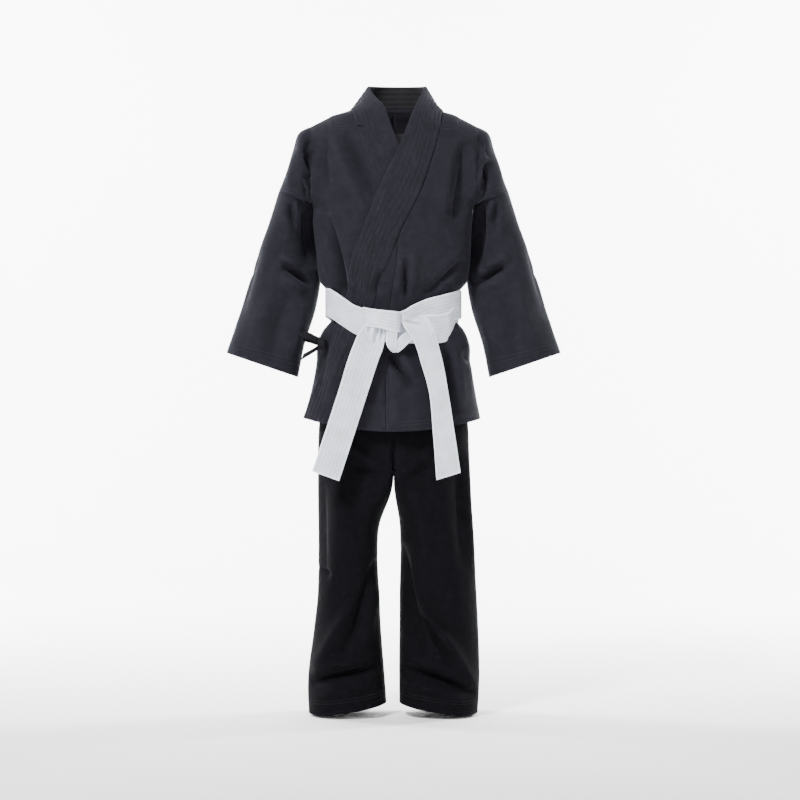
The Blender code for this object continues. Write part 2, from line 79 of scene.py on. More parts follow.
# The jacket's body from the neck down over the shoulders to the hem
JACKET = (
    Section(0.0045, 0.052, 0.036),
    Section(-0.006, 0.068, 0.04),
    Section(-0.011, 0.086, 0.043),
    Section(-0.02, 0.106, 0.047),
    Section(-0.03, 0.124, 0.05),
    Section(-0.045, 0.134, 0.053),
    Section(-0.073, 0.139, 0.057),
    Section(-0.1, 0.134, 0.06),
    Section(-0.12, 0.122, 0.0615),
    Section(-0.134, 0.1115, 0.0625),
    Section(-0.165, 0.1095, 0.062),
    Section(-0.2, 0.108, 0.06),
    Section(-0.228, 0.106, 0.0575),
    Section(-0.245, 0.1015, 0.0545),
    Section(-0.2565, 0.091, 0.051),
    Section(-0.268, 0.085, 0.0495),
    Section(-0.298, 0.087, 0.0505),
    Section(-0.312, 0.0985, 0.0535),
    Section(-0.33, 0.106, 0.0565),
    Section(-0.356, 0.108, 0.06),
    Section(-0.4, 0.114, 0.064),
    Section(-0.454, 0.124, 0.067),
)
HEM = JACKET[-1].z
HEM_RISE = 0.018
HEM_RISE_TOP = -0.354

# Seams and free edges of the fronts: height, place across the body
OUTER_FREE_EDGE = ((-0.03, 0.02), (-0.052, 0.0112), (-0.113, -0.0175), (-0.177, -0.0427), (-0.213, -0.0567),
                   (-0.256, -0.062), (-0.311, -0.08), (-0.381, -0.104), (-0.454, -0.1225))
OUTER_LAPEL_SEAM = ((-0.011, 0.066), (-0.03, 0.063), (-0.077, 0.0511), (-0.127, 0.0329), (-0.169, 0.0112),
                    (-0.213, -0.0063), (-0.245, -0.0209), (-0.277, -0.028), (-0.311, -0.04), (-0.381, -0.064),
                    (-0.454, -0.088))
OUTER_OVERLAP_SEAM = ((-0.15, 0.02), (-0.181, 0.0077), (-0.22, 0.0035), (-0.266, -0.0035), (-0.368, -0.0091),
                      (-0.454, -0.0105))
INNER_FREE_EDGE = ((-0.03, -0.003), (-0.052, 0.0059), (-0.113, 0.03), (-0.177, 0.047), (-0.256, 0.059),
                   (-0.354, 0.078), (-0.454, 0.094))
INNER_LAPEL_SEAM = ((-0.011, -0.056), (-0.031, -0.049), (-0.049, -0.0427), (-0.095, -0.0245), (-0.177, 0.004),
                    (-0.256, 0.017), (-0.354, 0.034), (-0.454, 0.052))

# Neck band, and the tops of the lapels where they roll from the neck on to the chest
NECK_BOTTOM = Section(-0.004, 0.06, 0.0375)
NECK_TOP = Section(0.032, 0.0385, 0.0335)
NECK_SHIFT = 0.0048         # how far the collar's top sits towards the wearer's left
NECK_BACK_RISE = 0.0055     # how much higher the band stands at the back than at the sides
OUTER_LAPEL_TOP = (((0.0433, 0.0, 0.032), (0.0645, 0.0, -0.0045)),
                   ((0.0388, -0.019, 0.0185), (0.0672, -0.018, -0.006)),
                   ((0.029, -0.042, -0.006), (0.0655, -0.037, -0.0158)))
INNER_LAPEL_TOP = (((-0.0337, 0.0, 0.032), (-0.0552, 0.0, -0.002)),
                   ((-0.0275, -0.019, 0.017), (-0.058, -0.018, -0.003)),
                   ((-0.0125, -0.041, -0.0035), (-0.055, -0.037, -0.0118)))

PATCH_SIDE = 0.089         # the shoulder patches end here across the body
PATCH_BOTTOM = -0.036      # and here down it
PATCH_RELIEF = 0.001
LAPEL_TACK = -0.208        # height of the row of stitches across each lapel
ARMPIT = -0.14              # the armholes are above this height

# Rows of stitching, measured from the edge they follow
HEM_ROWS = (0.009, 0.0135)
SHOULDER_ROWS = (0.0045, 0.0085)
PATCH_ROWS = (0.0025, 0.0065)
BACK_SEAM_ROWS = (0.0022, 0.0062)
CUFF_ROWS = (0.01, 0.014)
TROUSER_HEM_ROWS = (0.016, 0.02)
LAPEL_CHANNELS = 7

# Sleeves: outer and inner edge of each section, seen from the front, and half its depth
SHOULDER_CAP = (
    Span((0.132, -0.033), (0.115, -0.131), 0.0485),
    Span((0.1405, -0.056), (0.1145, -0.133), 0.045),
    Span((0.1485, -0.085), (0.1135, -0.1345), 0.0425),
    Span((0.162, -0.1185), (0.1125, -0.1365), 0.041, 0.004),
)
SLEEVE = (
    Span((0.1625, -0.1165), (0.112, -0.135), 0.0405, 0.004),
    Span((0.1775, -0.164), (0.1065, -0.18), 0.04, 0.022),
    Span((0.1935, -0.21), (0.1035, -0.23), 0.038, 0.024),
    Span((0.213, -0.27), (0.1105, -0.28), 0.037, 0.012),
    Span((0.227, -0.316), (0.126, -0.331), 0.037, 0.003),
    Span((0.2365, -0.3435), (0.1352, -0.378), 0.037, 0.0),
)

# Trousers
TROUSERS = (
    Section(-0.27, 0.08, 0.044),
    Section(-0.305, 0.08, 0.044),
    Section(-0.345, 0.084, 0.047),
    Section(-0.38, 0.095, 0.051),
    Section(-0.43, 0.104, 0.054),
    Section(-0.53, 0.1075, 0.056),
)
HEM_SLANT = 0.0165          # how much higher each trouser hem is at its inner side
SLANT_TOP = -0.76           # where the slant begins
CROTCH = -0.504
LEG_FORMED = -0.6         # where the thighs have become separate tubes
Leg = namedtuple("Leg", "z inner outer half_depth")
LEG_LEFT = (
    Leg(-0.504, 0.001, 0.107, 0.054),
    Leg(-0.56, 0.008, 0.1095, 0.052),
    Leg(-0.606, 0.0091, 0.1127, 0.05),
    Leg(-0.69, 0.0077, 0.118, 0.049),
    Leg(-0.732, 0.0077, 0.12, 0.049),
    Leg(-0.816, 0.0077, 0.1212, 0.049),
    Leg(-0.8505, 0.008, 0.119, 0.05),
)
LEG_RIGHT = (
    Leg(-0.504, -0.006, -0.107, 0.054),
    Leg(-0.56, -0.0185, -0.1075, 0.052),
    Leg(-0.606, -0.0217, -0.107, 0.05),
    Leg(-0.69, -0.0195, -0.1085, 0.049),
    Leg(-0.732, -0.0175, -0.1127, 0.049),
    Leg(-0.816, -0.0119, -0.1215, 0.049),
    Leg(-0.8505, -0.01, -0.12, 0.05),
)

# Belt
BELT_WIDTH = 0.04
BELT_WALL = 0.0034
BELT_ROWS = 8               # quilting channels across the belt
# Height of the middle of each turn at angles round the waist, in degrees from the front
OUTER_TURN = ((-181, -0.276), (-110, -0.275), (-68, -0.275), (-45, -0.288), (-28, -0.299), (-17, -0.3042),
              (-4, -0.308), (4, -0.308), (12, -0.3), (22, -0.2925), (45, -0.283), (68, -0.2773),
              (110, -0.2755), (181, -0.276))
INNER_TURN = ((-181, -0.279), (-110, -0.278), (-68, -0.277), (-45, -0.289), (-28, -0.3), (-17, -0.3048),
              (0, -0.311), (13, -0.3124), (39, -0.3095), (60, -0.298), (72, -0.287), (90, -0.2815),
              (181, -0.279))
# Strips of the knot and the two ends: one edge, the other edge, both (x, z), and the middle's y
KNOT_BAND = (
    ((-0.0408, -0.3022), (-0.0408, -0.2817), -0.063),
    ((-0.0336, -0.3089), (-0.0327, -0.2841), -0.0765),
    ((-0.0207, -0.3112), (-0.0207, -0.2859), -0.0825),
    ((-0.0058, -0.3146), (-0.0058, -0.2876), -0.083),
    ((0.0045, -0.3172), (0.005, -0.2885), -0.08),
    ((0.0095, -0.3147), (0.0105, -0.2895), -0.069),
)
KNOT_FRONT_LOBE = (
    ((-0.0127, -0.3028), (0.005, -0.3028), -0.077),
    ((-0.0095, -0.3165), (0.0056, -0.3165), -0.0795),
    ((-0.0103, -0.33), (0.005, -0.33), -0.0785),
    ((-0.0068, -0.3388), (0.0041, -0.3388), -0.076),
    ((-0.0011, -0.3434), (0.0037, -0.3434), -0.072),
)
KNOT_BACK_LOBE = (
    ((0.0034, -0.3424), (0.0066, -0.3445), -0.072),
    ((0.0047, -0.334), (0.0132, -0.3397), -0.0755),
    ((0.0057, -0.3265), (0.0207, -0.3324), -0.076),
    ((0.0118, -0.321), (0.0276, -0.3252), -0.0735),
    ((0.02, -0.3147), (0.033, -0.3181), -0.069),
)
TAIL_LEFT = (
    ((0.0098, -0.3025), (0.0091, -0.2902), -0.07),
    ((0.0122, -0.304), (0.0279, -0.2987), -0.0765),
    ((0.0152, -0.3104), (0.0435, -0.2955), -0.0805),
    ((0.0202, -0.3179), (0.0519, -0.305), -0.0815),
    ((0.0254, -0.326), (0.0576, -0.3165), -0.08),
    ((0.0304, -0.3352), (0.0616, -0.3327), -0.0785),
    ((0.0376, -0.3586), (0.0678, -0.3572), -0.0795),
    ((0.0481, -0.3953), (0.0747, -0.3953), -0.081),
    ((0.0539, -0.4509), (0.0834, -0.4509), -0.083),
    ((0.059, -0.5201), (0.0922, -0.5099), -0.0835),
)
TAIL_RIGHT = (
    ((-0.0325, -0.2902), (-0.0086, -0.3038), -0.069),
    ((-0.0372, -0.3027), (-0.0087, -0.3149), -0.0745),
    ((-0.0472, -0.3164), (-0.0117, -0.3266), -0.0765),
    ((-0.0544, -0.3327), (-0.014, -0.3381), -0.0765),
    ((-0.0616, -0.3517), (-0.02, -0.3545), -0.0775),
    ((-0.0731, -0.3898), (-0.0334, -0.3953), -0.08),
    ((-0.0927, -0.4509), (-0.0533, -0.457), -0.0825),
    ((-0.1116, -0.5079), (-0.0743, -0.5214), -0.0835),
)


# ---------------------------------------------------------------- small tools

def smooth(table, x):
    """A smooth curve through (x, y) pairs."""
    xs, ys = np.array(sorted(table)).T
    slopes = np.gradient(ys, xs)
    x = np.clip(np.asarray(x, float), xs[0], xs[-1])
    i = np.clip(np.searchsorted(xs, x) - 1, 0, len(xs) - 2)
    step = xs[i + 1] - xs[i]
    t = (x - xs[i]) / step
    return ((2 * t ** 3 - 3 * t ** 2 + 1) * ys[i] + (t ** 3 - 2 * t ** 2 + t) * step * slopes[i]
            + (3 * t ** 2 - 2 * t ** 3) * ys[i + 1] + (t ** 3 - t ** 2) * step * slopes[i + 1])


def ramp(x, start, end):
    """0 before start, 1 after end, smooth between."""
    t = np.clip((np.asarray(x, float) - start) / (end - start), 0, 1)
    return t * t * (3 - 2 * t)


def power(value, exponent):
    return np.sign(value) * np.abs(value) ** exponent


def through(points, count):
    """Points spaced evenly along a smooth curve through the given ones."""
    points = np.array(points, float)
    along = np.r_[0, np.cumsum(np.linalg.norm(np.diff(points, axis=0), axis=1))]
    wanted = np.linspace(0, along[-1], count)
    columns = [smooth(list(zip(along, points[:, axis])), wanted) for axis in range(points.shape[1])]
    return np.stack(columns, axis=1)


def between_points(points, first, last, count):
    """Evenly spaced points on the smooth curve through all the points, from one of them to another."""
    along = np.r_[0, np.cumsum(np.linalg.norm(np.diff(points, axis=0), axis=1) + 1e-6)]
    wanted = np.linspace(along[first], along[last], count)
    return np.stack([smooth(list(zip(along, points[:, axis])), wanted) for axis in range(3)], axis=1)


def size_at(profile, z, lift=0.0):
    width = smooth([(s.z, s.half_width) for s in profile], z) + lift
    depth = smooth([(s.z, s.half_depth) for s in profile], z) + lift
    return width, depth


def around(profile, z, angle, lift=0.0):
    """Points on the body: angle 0 is the front, and it grows towards the wearer's left."""
    width, depth = size_at(profile, z, lift)
    x = width * power(np.sin(angle), 2 / ROUNDNESS)
    y = -depth * power(np.cos(angle), 2 / ROUNDNESS)
    return np.stack([x, y, np.broadcast_to(z, x.shape)], axis=-1)


def front_angle(profile, z, x, lift=0.0):
    width, _ = size_at(profile, z, lift)
    return np.arcsin(power(np.clip(x / width, -1, 1), ROUNDNESS / 2))


def raise_hem(points):
    """The jacket's hem is higher at the sides than at the front."""
    points = points.copy()
    fall = np.clip((HEM_RISE_TOP - points[..., 2]) / (HEM_RISE_TOP - HEM), 0, None)
    points[..., 2] += HEM_RISE * fall * (points[..., 0] / JACKET[-1].half_width) ** 2
    return points


def heights(profile, top, bottom, spacing=GRID):
    """Heights between two limits, evenly spaced along the garment's side line."""
    z = np.linspace(top, bottom, 2000)
    width, depth = size_at(profile, z)
    steps = np.hypot(np.diff(z), np.hypot(np.diff(width), np.diff(depth)))
    along = np.r_[0, np.cumsum(steps)]
    return np.interp(np.linspace(0, along[-1], int(along[-1] / spacing) + 2), along, z)


def grid_faces(rows, columns, closed=False, first=0):
    """Quads over a grid of points numbered row by row."""
    r, c = np.meshgrid(np.arange(rows - 1), np.arange(columns if closed else columns - 1), indexing="ij")
    right = (c + 1) % columns
    here, below = r * columns, (r + 1) * columns
    quads = np.stack([here + c, below + c, below + right, here + right], -1)
    return quads.reshape(-1, 4) + first


def grid_uv(points):
    """Cloth coordinates in metres for a grid of points: across, then down."""
    across = np.zeros(points.shape[:2])
    across[:, 1:] = np.cumsum(np.linalg.norm(np.diff(points, axis=1), axis=2), axis=1)
    down = np.zeros(points.shape[:2])
    down[1:] = np.cumsum(np.linalg.norm(np.diff(points, axis=0), axis=2), axis=0)
    return np.stack([across, down], axis=-1)


def grid_normals(points):
    across = np.gradient(points, axis=1)
    down = np.gradient(points, axis=0)
    normal = np.cross(down, across)
    return normal / np.maximum(np.linalg.norm(normal, axis=-1, keepdims=True), 1e-12)


def make_mesh(name, vertices, faces, uv=None):
    mesh = bpy.data.meshes.new(name)
    mesh.from_pydata([tuple(v) for v in vertices], [], [tuple(int(i) for i in f) for f in faces])
    if uv is not None:
        layer = mesh.uv_layers.new(name="cloth")
        corners = np.zeros(len(mesh.loops), int)
        mesh.loops.foreach_get("vertex_index", corners)
        layer.data.foreach_set("uv", np.asarray(uv, np.float32)[corners].ravel())
    mesh.shade_smooth()
    piece = bpy.data.objects.new(name, mesh)
    bpy.context.scene.collection.objects.link(piece)
    return piece


def thicken(piece, wall, outward=True):
    modifier = piece.modifiers.new("cloth", "SOLIDIFY")
    modifier.thickness = wall
    modifier.offset = 1.0 if outward else -1.0


def press(points, normals, field):
    """Moves points along their normals by the folds' field."""
    return points + normals * field(points, normals)[..., None]


# ---------------------------------------------------------------- stitching

STITCH = 0.0026             # length of one stitch
STITCH_PITCH = 0.0036       # from one stitch to the next
THREAD = 0.0003            # half the thread's thickness


def surface(piece):
    """What a piece looks like with its thickness, for finding points on it."""
    bpy.context.view_layer.update()
    return BVHTree.FromObject(piece, bpy.context.evaluated_depsgraph_get())


def cast(tree, origins, targets):
    """Where the lines from origins to targets meet a surface: points and normals."""
    points, normals = [], []
    for origin, target in zip(origins, targets):
        way = Vector(target) - Vector(origin)
        place, normal, _, _ = tree.ray_cast(Vector(origin), way.normalized(), way.length)
        if place is not None:
            points.append(place)
            normals.append(normal if normal.dot(way) < 0 else -normal)
    return np.array(points).reshape(-1, 3), np.array(normals).reshape(-1, 3)


def stitch_beads(points, normals, beads):
    """Adds one row of stitches, each a small spindle lying on the cloth."""
    if len(points) < 3:
        return
    along = np.r_[0, np.cumsum(np.linalg.norm(np.diff(points, axis=0), axis=1))]
    for start in np.arange(STITCH_PITCH / 2, along[-1] - STITCH, STITCH_PITCH):
        ends = [np.array([np.interp(at, along, points[:, axis]) for axis in range(3)])
                for at in (start, start + STITCH)]
        up = normals[min(np.searchsorted(along, start), len(normals) - 1)]
        way = ends[1] - ends[0]
        length = np.linalg.norm(way)
        if not 0.5 * STITCH < length < 1.2 * STITCH:
            continue
        side = np.cross(way, up)
        side *= THREAD / max(np.linalg.norm(side), 1e-9)
        middle = (ends[0] + ends[1]) / 2 + up * THREAD * 0.4
        beads.append([ends[0] - up * THREAD * 0.6, middle + side, middle + up * THREAD, middle - side,
                      middle - up * THREAD, ends[1] - up * THREAD * 0.6])


def stitches(name, rows, material):
    """One piece from rows of stitches, each a pair of points and normals."""
    beads = []
    for points, normals in rows:
        stitch_beads(points, normals, beads)
    corners = ((0, 2, 1), (0, 3, 2), (0, 4, 3), (0, 1, 4), (5, 1, 2), (5, 2, 3), (5, 3, 4), (5, 4, 1))
    vertices = np.array(beads).reshape(-1, 3)
    faces = (np.array(corners)[None] + 6 * np.arange(len(beads))[:, None, None]).reshape(-1, 3)
    piece = make_mesh(name, vertices, faces, vertices[:, :2])
    piece.data.materials.append(material)
    return piece


# ---------------------------------------------------------------- folds

RIDGE = 1.3                # how far the lifts and the hollows of all the folds are exaggerated
HOLLOW = 1.6


def fold_height(points, fold):
    """How far one fold lifts each point, seen along Y."""
    path = through([(x, z) for x, z in fold.path], 14)
    flat = points[..., [0, 2]].reshape(-1, 1, 2)
    runs = np.diff(path, axis=0)
    share = np.clip(((flat - path[:-1]) * runs).sum(axis=2) / (runs ** 2).sum(axis=1), 0, 1)
    gaps = np.linalg.norm(flat - path[:-1] - share[..., None] * runs, axis=2)
    nearest = gaps.argmin(axis=1)
    along = (nearest + share[np.arange(len(share)), nearest]) / len(runs)
    taper = np.sin(np.pi * along).clip(0) ** 0.7
    strength = RIDGE if fold.height > 0 else HOLLOW
    height = strength * fold.height * taper * np.exp(-(gaps.min(axis=1) / fold.width) ** 1.6)
    return height.reshape(points.shape[:-1])


def fold_field(folds, back_folds=()):
    """A field that lifts the front by one set of folds and the back by another."""
    def field(points, normals):
        front = ramp(-normals[..., 1], -0.15, 0.35)
        lift = np.zeros(points.shape[:-1])
        for fold in folds:
            lift += front * fold_height(points, fold)
        for fold in back_folds:
            lift += (1 - front) * fold_height(points, fold)
        return lift
    return field


def mirrored(folds):
    return tuple(Fold(tuple((-x, z) for x, z in fold.path), fold.width, fold.height) for fold in folds)


# Jacket front, seen from the front: the wearer's right is at -x
CHEST_FOLDS = (
    # chest and waist on the wearer's right
    Fold(((-0.07, -0.039), (-0.061, -0.056), (-0.05, -0.081), (-0.0357, -0.109), (-0.024, -0.13)),
         0.008, -0.008),
    Fold(((-0.083, -0.038), (-0.07, -0.08), (-0.053, -0.118), (-0.037, -0.15)), 0.011, 0.0065),
    Fold(((-0.095, -0.045), (-0.093, -0.08), (-0.089, -0.115)), 0.006, -0.004),
    Fold(((-0.1, -0.14), (-0.084, -0.175), (-0.066, -0.215), (-0.056, -0.24)), 0.0085, 0.004),
    Fold(((-0.09, -0.153), (-0.081, -0.188), (-0.073, -0.227), (-0.064, -0.27)), 0.0055, -0.012),
    Fold(((-0.101, -0.175), (-0.095, -0.205), (-0.087, -0.24), (-0.08, -0.26)), 0.0065, 0.0042),
    Fold(((-0.062, -0.218), (-0.059, -0.24), (-0.056, -0.265)), 0.005, 0.0026),
    # chest and waist on the wearer's left
    Fold(((0.0985, -0.05), (0.095, -0.093), (0.0885, -0.138), (0.086, -0.172)), 0.0095, -0.0085),
    Fold(((0.113, -0.06), (0.109, -0.11), (0.104, -0.16)), 0.007, 0.004),
    Fold(((0.078, -0.045), (0.076, -0.095), (0.072, -0.15)), 0.012, 0.0055),
    Fold(((0.096, -0.213), (0.073, -0.237), (0.055, -0.255), (0.04, -0.268)), 0.0045, -0.005),
    Fold(((0.1, -0.196), (0.076, -0.22), (0.054, -0.242)), 0.0065, 0.0036),
    Fold(((0.09, -0.233), (0.072, -0.248), (0.06, -0.26)), 0.0045, 0.003),
    Fold(((0.017, -0.212), (0.0172, -0.245), (0.0165, -0.285)), 0.003, -0.007),
    Fold(((0.029, -0.2), (0.026, -0.24), (0.024, -0.27)), 0.007, 0.0036),
    Fold(((0.006, -0.215), (0.007, -0.245), (0.006, -0.27)), 0.0045, 0.0024),
    Fold(((-0.0165, -0.228), (-0.023, -0.25), (-0.027, -0.27)), 0.0035, -0.004),
    # where each front drops from the shoulder past the sleeve
    Fold(((-0.117, -0.06), (-0.1215, -0.09), (-0.1205, -0.129)), 0.0048, -0.0105),
    Fold(((-0.106, -0.064), (-0.109, -0.1), (-0.108, -0.15), (-0.106, -0.2)), 0.006, 0.0045),
    Fold(((0.132, -0.076), (0.1285, -0.104), (0.1225, -0.132)), 0.0048, -0.0105),
    Fold(((0.117, -0.08), (0.115, -0.12), (0.112, -0.165)), 0.006, 0.0042),
    # short creases at the shoulder points
    Fold(((-0.116, -0.045), (-0.123, -0.062), (-0.131, -0.07)), 0.0035, -0.0035),
    Fold(((-0.134, -0.062), (-0.142, -0.088), (-0.148, -0.11)), 0.006, 0.0026),
    Fold(((0.118, -0.042), (0.127, -0.06), (0.135, -0.075)), 0.0035, -0.0035),
    Fold(((0.142, -0.064), (0.146, -0.088), (0.15, -0.11)), 0.006, 0.0026),
)
SKIRT_FOLDS = (
    Fold(((-0.012, -0.336), (0.002, -0.358), (0.015, -0.376), (0.026, -0.395)), 0.0062, -0.0125),
    Fold(((0.006, -0.34), (0.018, -0.36), (0.03, -0.38)), 0.008, 0.0065),
    Fold(((-0.0105, -0.356), (-0.0098, -0.39), (-0.01, -0.43)), 0.004, -0.0034),
    Fold(((0.004, -0.38), (0.002, -0.415), (0.003, -0.45)), 0.008, 0.0034),
    Fold(((0.082, -0.324), (0.09, -0.37), (0.096, -0.425)), 0.008, 0.0046),
    Fold(((0.07, -0.324), (0.076, -0.37), (0.08, -0.43)), 0.006, -0.0044),
    Fold(((0.096, -0.342), (0.106, -0.354), (0.112, -0.36)), 0.005, -0.004),
    Fold(((-0.064, -0.326), (-0.078, -0.37), (-0.09, -0.42)), 0.008, 0.0036),
    Fold(((-0.084, -0.316), (-0.096, -0.36), (-0.104, -0.41)), 0.006, -0.0032),
)
BACK_FOLDS = (
    Fold(((-0.08, -0.05), (-0.07, -0.13), (-0.06, -0.23)), 0.01, 0.0055),
    Fold(((0.084, -0.05), (0.068, -0.12), (0.056, -0.225)), 0.01, 0.0055),
    Fold(((-0.03, -0.12), (-0.028, -0.2), (-0.022, -0.262)), 0.007, -0.005),
    Fold(((0.026, -0.1), (0.028, -0.19), (0.03, -0.262)), 0.007, -0.005),
    Fold(((0.0, -0.18), (0.004, -0.225), (0.006, -0.262)), 0.006, 0.0042),
    Fold(((-0.098, -0.15), (-0.08, -0.2), (-0.07, -0.25)), 0.0055, 0.0055),
    Fold(((0.098, -0.15), (0.082, -0.2), (0.072, -0.25)), 0.0055, 0.0055),
    Fold(((-0.05, -0.33), (-0.058, -0.38), (-0.066, -0.45)), 0.009, 0.0034),
    Fold(((0.046, -0.33), (0.058, -0.39), (0.07, -0.45)), 0.009, 0.0034),
    Fold(((0.01, -0.33), (0.008, -0.39), (0.012, -0.45)), 0.008, 0.0026),
    Fold(((-0.022, -0.33), (-0.028, -0.39), (-0.034, -0.45)), 0.007, -0.0028),
    Fold(((0.026, -0.335), (0.032, -0.39), (0.036, -0.45)), 0.007, -0.0026),
)
SLEEVE_FOLDS = (
    Fold(((0.121, -0.125), (0.116, -0.17), (0.116, -0.225)), 0.014, -0.0115),
    Fold(((0.156, -0.223), (0.142, -0.23), (0.127, -0.239), (0.113, -0.248)), 0.0045, -0.01),
    Fold(((0.162, -0.208), (0.146, -0.215), (0.131, -0.224)), 0.006, 0.006),
    Fold(((0.16, -0.235), (0.144, -0.244), (0.126, -0.258)), 0.008, 0.005),
    Fold(((0.138, -0.132), (0.133, -0.148), (0.129, -0.162)), 0.004, 0.005),
    Fold(((0.145, -0.133), (0.143, -0.152), (0.137, -0.17)), 0.004, -0.005),
    Fold(((0.15, -0.133), (0.149, -0.16), (0.144, -0.19)), 0.007, 0.0036),
    Fold(((0.168, -0.25), (0.185, -0.295), (0.198, -0.345)), 0.011, 0.0044),
    Fold(((0.145, -0.262), (0.16, -0.305), (0.172, -0.358)), 0.009, -0.0044),
    Fold(((0.19, -0.195), (0.205, -0.245), (0.215, -0.3)), 0.009, -0.003),
    Fold(((0.123, -0.27), (0.132, -0.31), (0.145, -0.355)), 0.008, 0.004),
)
SLEEVE_BACK_FOLDS = (
    Fold(((0.17, -0.17), (0.18, -0.22), (0.195, -0.29)), 0.01, 0.004),
    Fold(((0.14, -0.17), (0.145, -0.22), (0.155, -0.27)), 0.008, -0.005),
    Fold(((0.202, -0.23), (0.175, -0.24), (0.145, -0.25)), 0.006, -0.005),
    Fold(((0.15, -0.27), (0.165, -0.31), (0.175, -0.355)), 0.009, 0.004),
    Fold(((0.195, -0.26), (0.208, -0.3), (0.215, -0.34)), 0.008, -0.0036),
)
TROUSER_FOLDS = (
    # wearer's right leg: the break above the shoe, a ridge and a crease running down into it
    Fold(((-0.116, -0.806), (-0.09, -0.796), (-0.055, -0.789), (-0.018, -0.782)), 0.0048, -0.0105),
    Fold(((-0.115, -0.788), (-0.08, -0.776), (-0.04, -0.769)), 0.008, 0.006),
    Fold(((-0.112, -0.824), (-0.075, -0.814), (-0.03, -0.806)), 0.008, 0.005),
    Fold(((-0.056, -0.685), (-0.074, -0.72), (-0.09, -0.75), (-0.11, -0.786)), 0.008, 0.0075),
    Fold(((-0.0238, -0.631), (-0.0427, -0.6874), (-0.0532, -0.722), (-0.0773, -0.775)), 0.0055, -0.0065),
    Fold(((-0.023, -0.67), (-0.033, -0.715), (-0.042, -0.76)), 0.008, 0.005),
    Fold(((-0.07, -0.495), (-0.074, -0.58), (-0.072, -0.66)), 0.014, 0.0045),
    Fold(((-0.098, -0.52), (-0.1, -0.6), (-0.096, -0.67)), 0.008, -0.0045),
    Fold(((-0.109, -0.644), (-0.1, -0.65), (-0.088, -0.656)), 0.004, -0.005),
    # wearer's left leg: the inner side turned away behind a long slanting ridge
    Fold(((0.115, -0.822), (0.095, -0.811), (0.06, -0.796), (0.012, -0.785)), 0.0048, -0.0105),
    Fold(((0.02, -0.768), (0.055, -0.777), (0.09, -0.793)), 0.008, 0.005),
    Fold(((0.016, -0.803), (0.055, -0.812), (0.1, -0.83)), 0.008, 0.0055),
    Fold(((0.02, -0.625), (0.041, -0.7), (0.078, -0.749), (0.1155, -0.8131)), 0.0065, 0.0085),
    Fold(((0.01, -0.61), (0.017, -0.685), (0.029, -0.738), (0.047, -0.78)), 0.015, -0.0115),
    Fold(((0.043, -0.712), (0.06, -0.744), (0.0805, -0.7728)), 0.0045, -0.006),
    Fold(((0.03, -0.54), (0.042, -0.6), (0.056, -0.66)), 0.011, 0.005),
    Fold(((0.09, -0.48), (0.093, -0.56), (0.098, -0.65)), 0.009, -0.0045),
    Fold(((0.104, -0.48), (0.106, -0.57), (0.112, -0.66)), 0.006, 0.004),
    # seat
    Fold(((0.002, -0.46), (0.001, -0.485), (0.0, -0.512)), 0.0035, -0.004),
    Fold(((-0.012, -0.508), (-0.04, -0.488), (-0.07, -0.472)), 0.006, 0.0035),
    Fold(((0.012, -0.508), (0.04, -0.49), (0.068, -0.472)), 0.006, 0.0035),
    Fold(((-0.014, -0.523), (-0.038, -0.508), (-0.062, -0.5)), 0.005, -0.0035),
    Fold(((0.014, -0.523), (0.038, -0.509), (0.06, -0.5)), 0.005, -0.0035),
)
TROUSER_BACK_FOLDS = (
    Fold(((-0.02, -0.518), (-0.052, -0.535), (-0.092, -0.542)), 0.0065, -0.007),
    Fold(((0.02, -0.518), (0.052, -0.535), (0.092, -0.54)), 0.0065, -0.007),
    Fold(((-0.02, -0.498), (-0.055, -0.512), (-0.095, -0.516)), 0.009, 0.0055),
    Fold(((0.02, -0.498), (0.055, -0.512), (0.095, -0.514)), 0.009, 0.0055),
    Fold(((-0.108, -0.79), (-0.066, -0.8), (-0.022, -0.8)), 0.0055, -0.009),
    Fold(((0.108, -0.8), (0.066, -0.802), (0.018, -0.792)), 0.0055, -0.009),
    Fold(((-0.062, -0.56), (-0.066, -0.65), (-0.07, -0.76)), 0.012, 0.0055),
    Fold(((0.062, -0.56), (0.068, -0.65), (0.074, -0.76)), 0.012, 0.0055),
    Fold(((-0.035, -0.59), (-0.036, -0.68), (-0.03, -0.75)), 0.008, -0.006),
    Fold(((0.033, -0.59), (0.036, -0.68), (0.03, -0.75)), 0.008, -0.006),
    Fold(((-0.09, -0.63), (-0.096, -0.7), (-0.09, -0.77)), 0.008, -0.005),
    Fold(((0.09, -0.63), (0.096, -0.7), (0.09, -0.77)), 0.008, -0.005),
)


TAIL_GATHERS = (
    Fold(((-0.03, -0.296), (-0.033, -0.308), (-0.035, -0.318)), 0.0022, -0.003),
    Fold(((-0.021, -0.306), (-0.023, -0.318), (-0.026, -0.333)), 0.0024, -0.0028),
    Fold(((-0.015, -0.308), (-0.017, -0.32), (-0.02, -0.332)), 0.0018, -0.002),
    Fold(((-0.027, -0.304), (-0.029, -0.316), (-0.032, -0.33)), 0.002, 0.0018),
    Fold(((0.013, -0.299), (0.028, -0.304), (0.04, -0.306)), 0.0024, -0.0016),
    Fold(((0.044, -0.298), (0.05, -0.308), (0.055, -0.32)), 0.004, 0.0016),
)


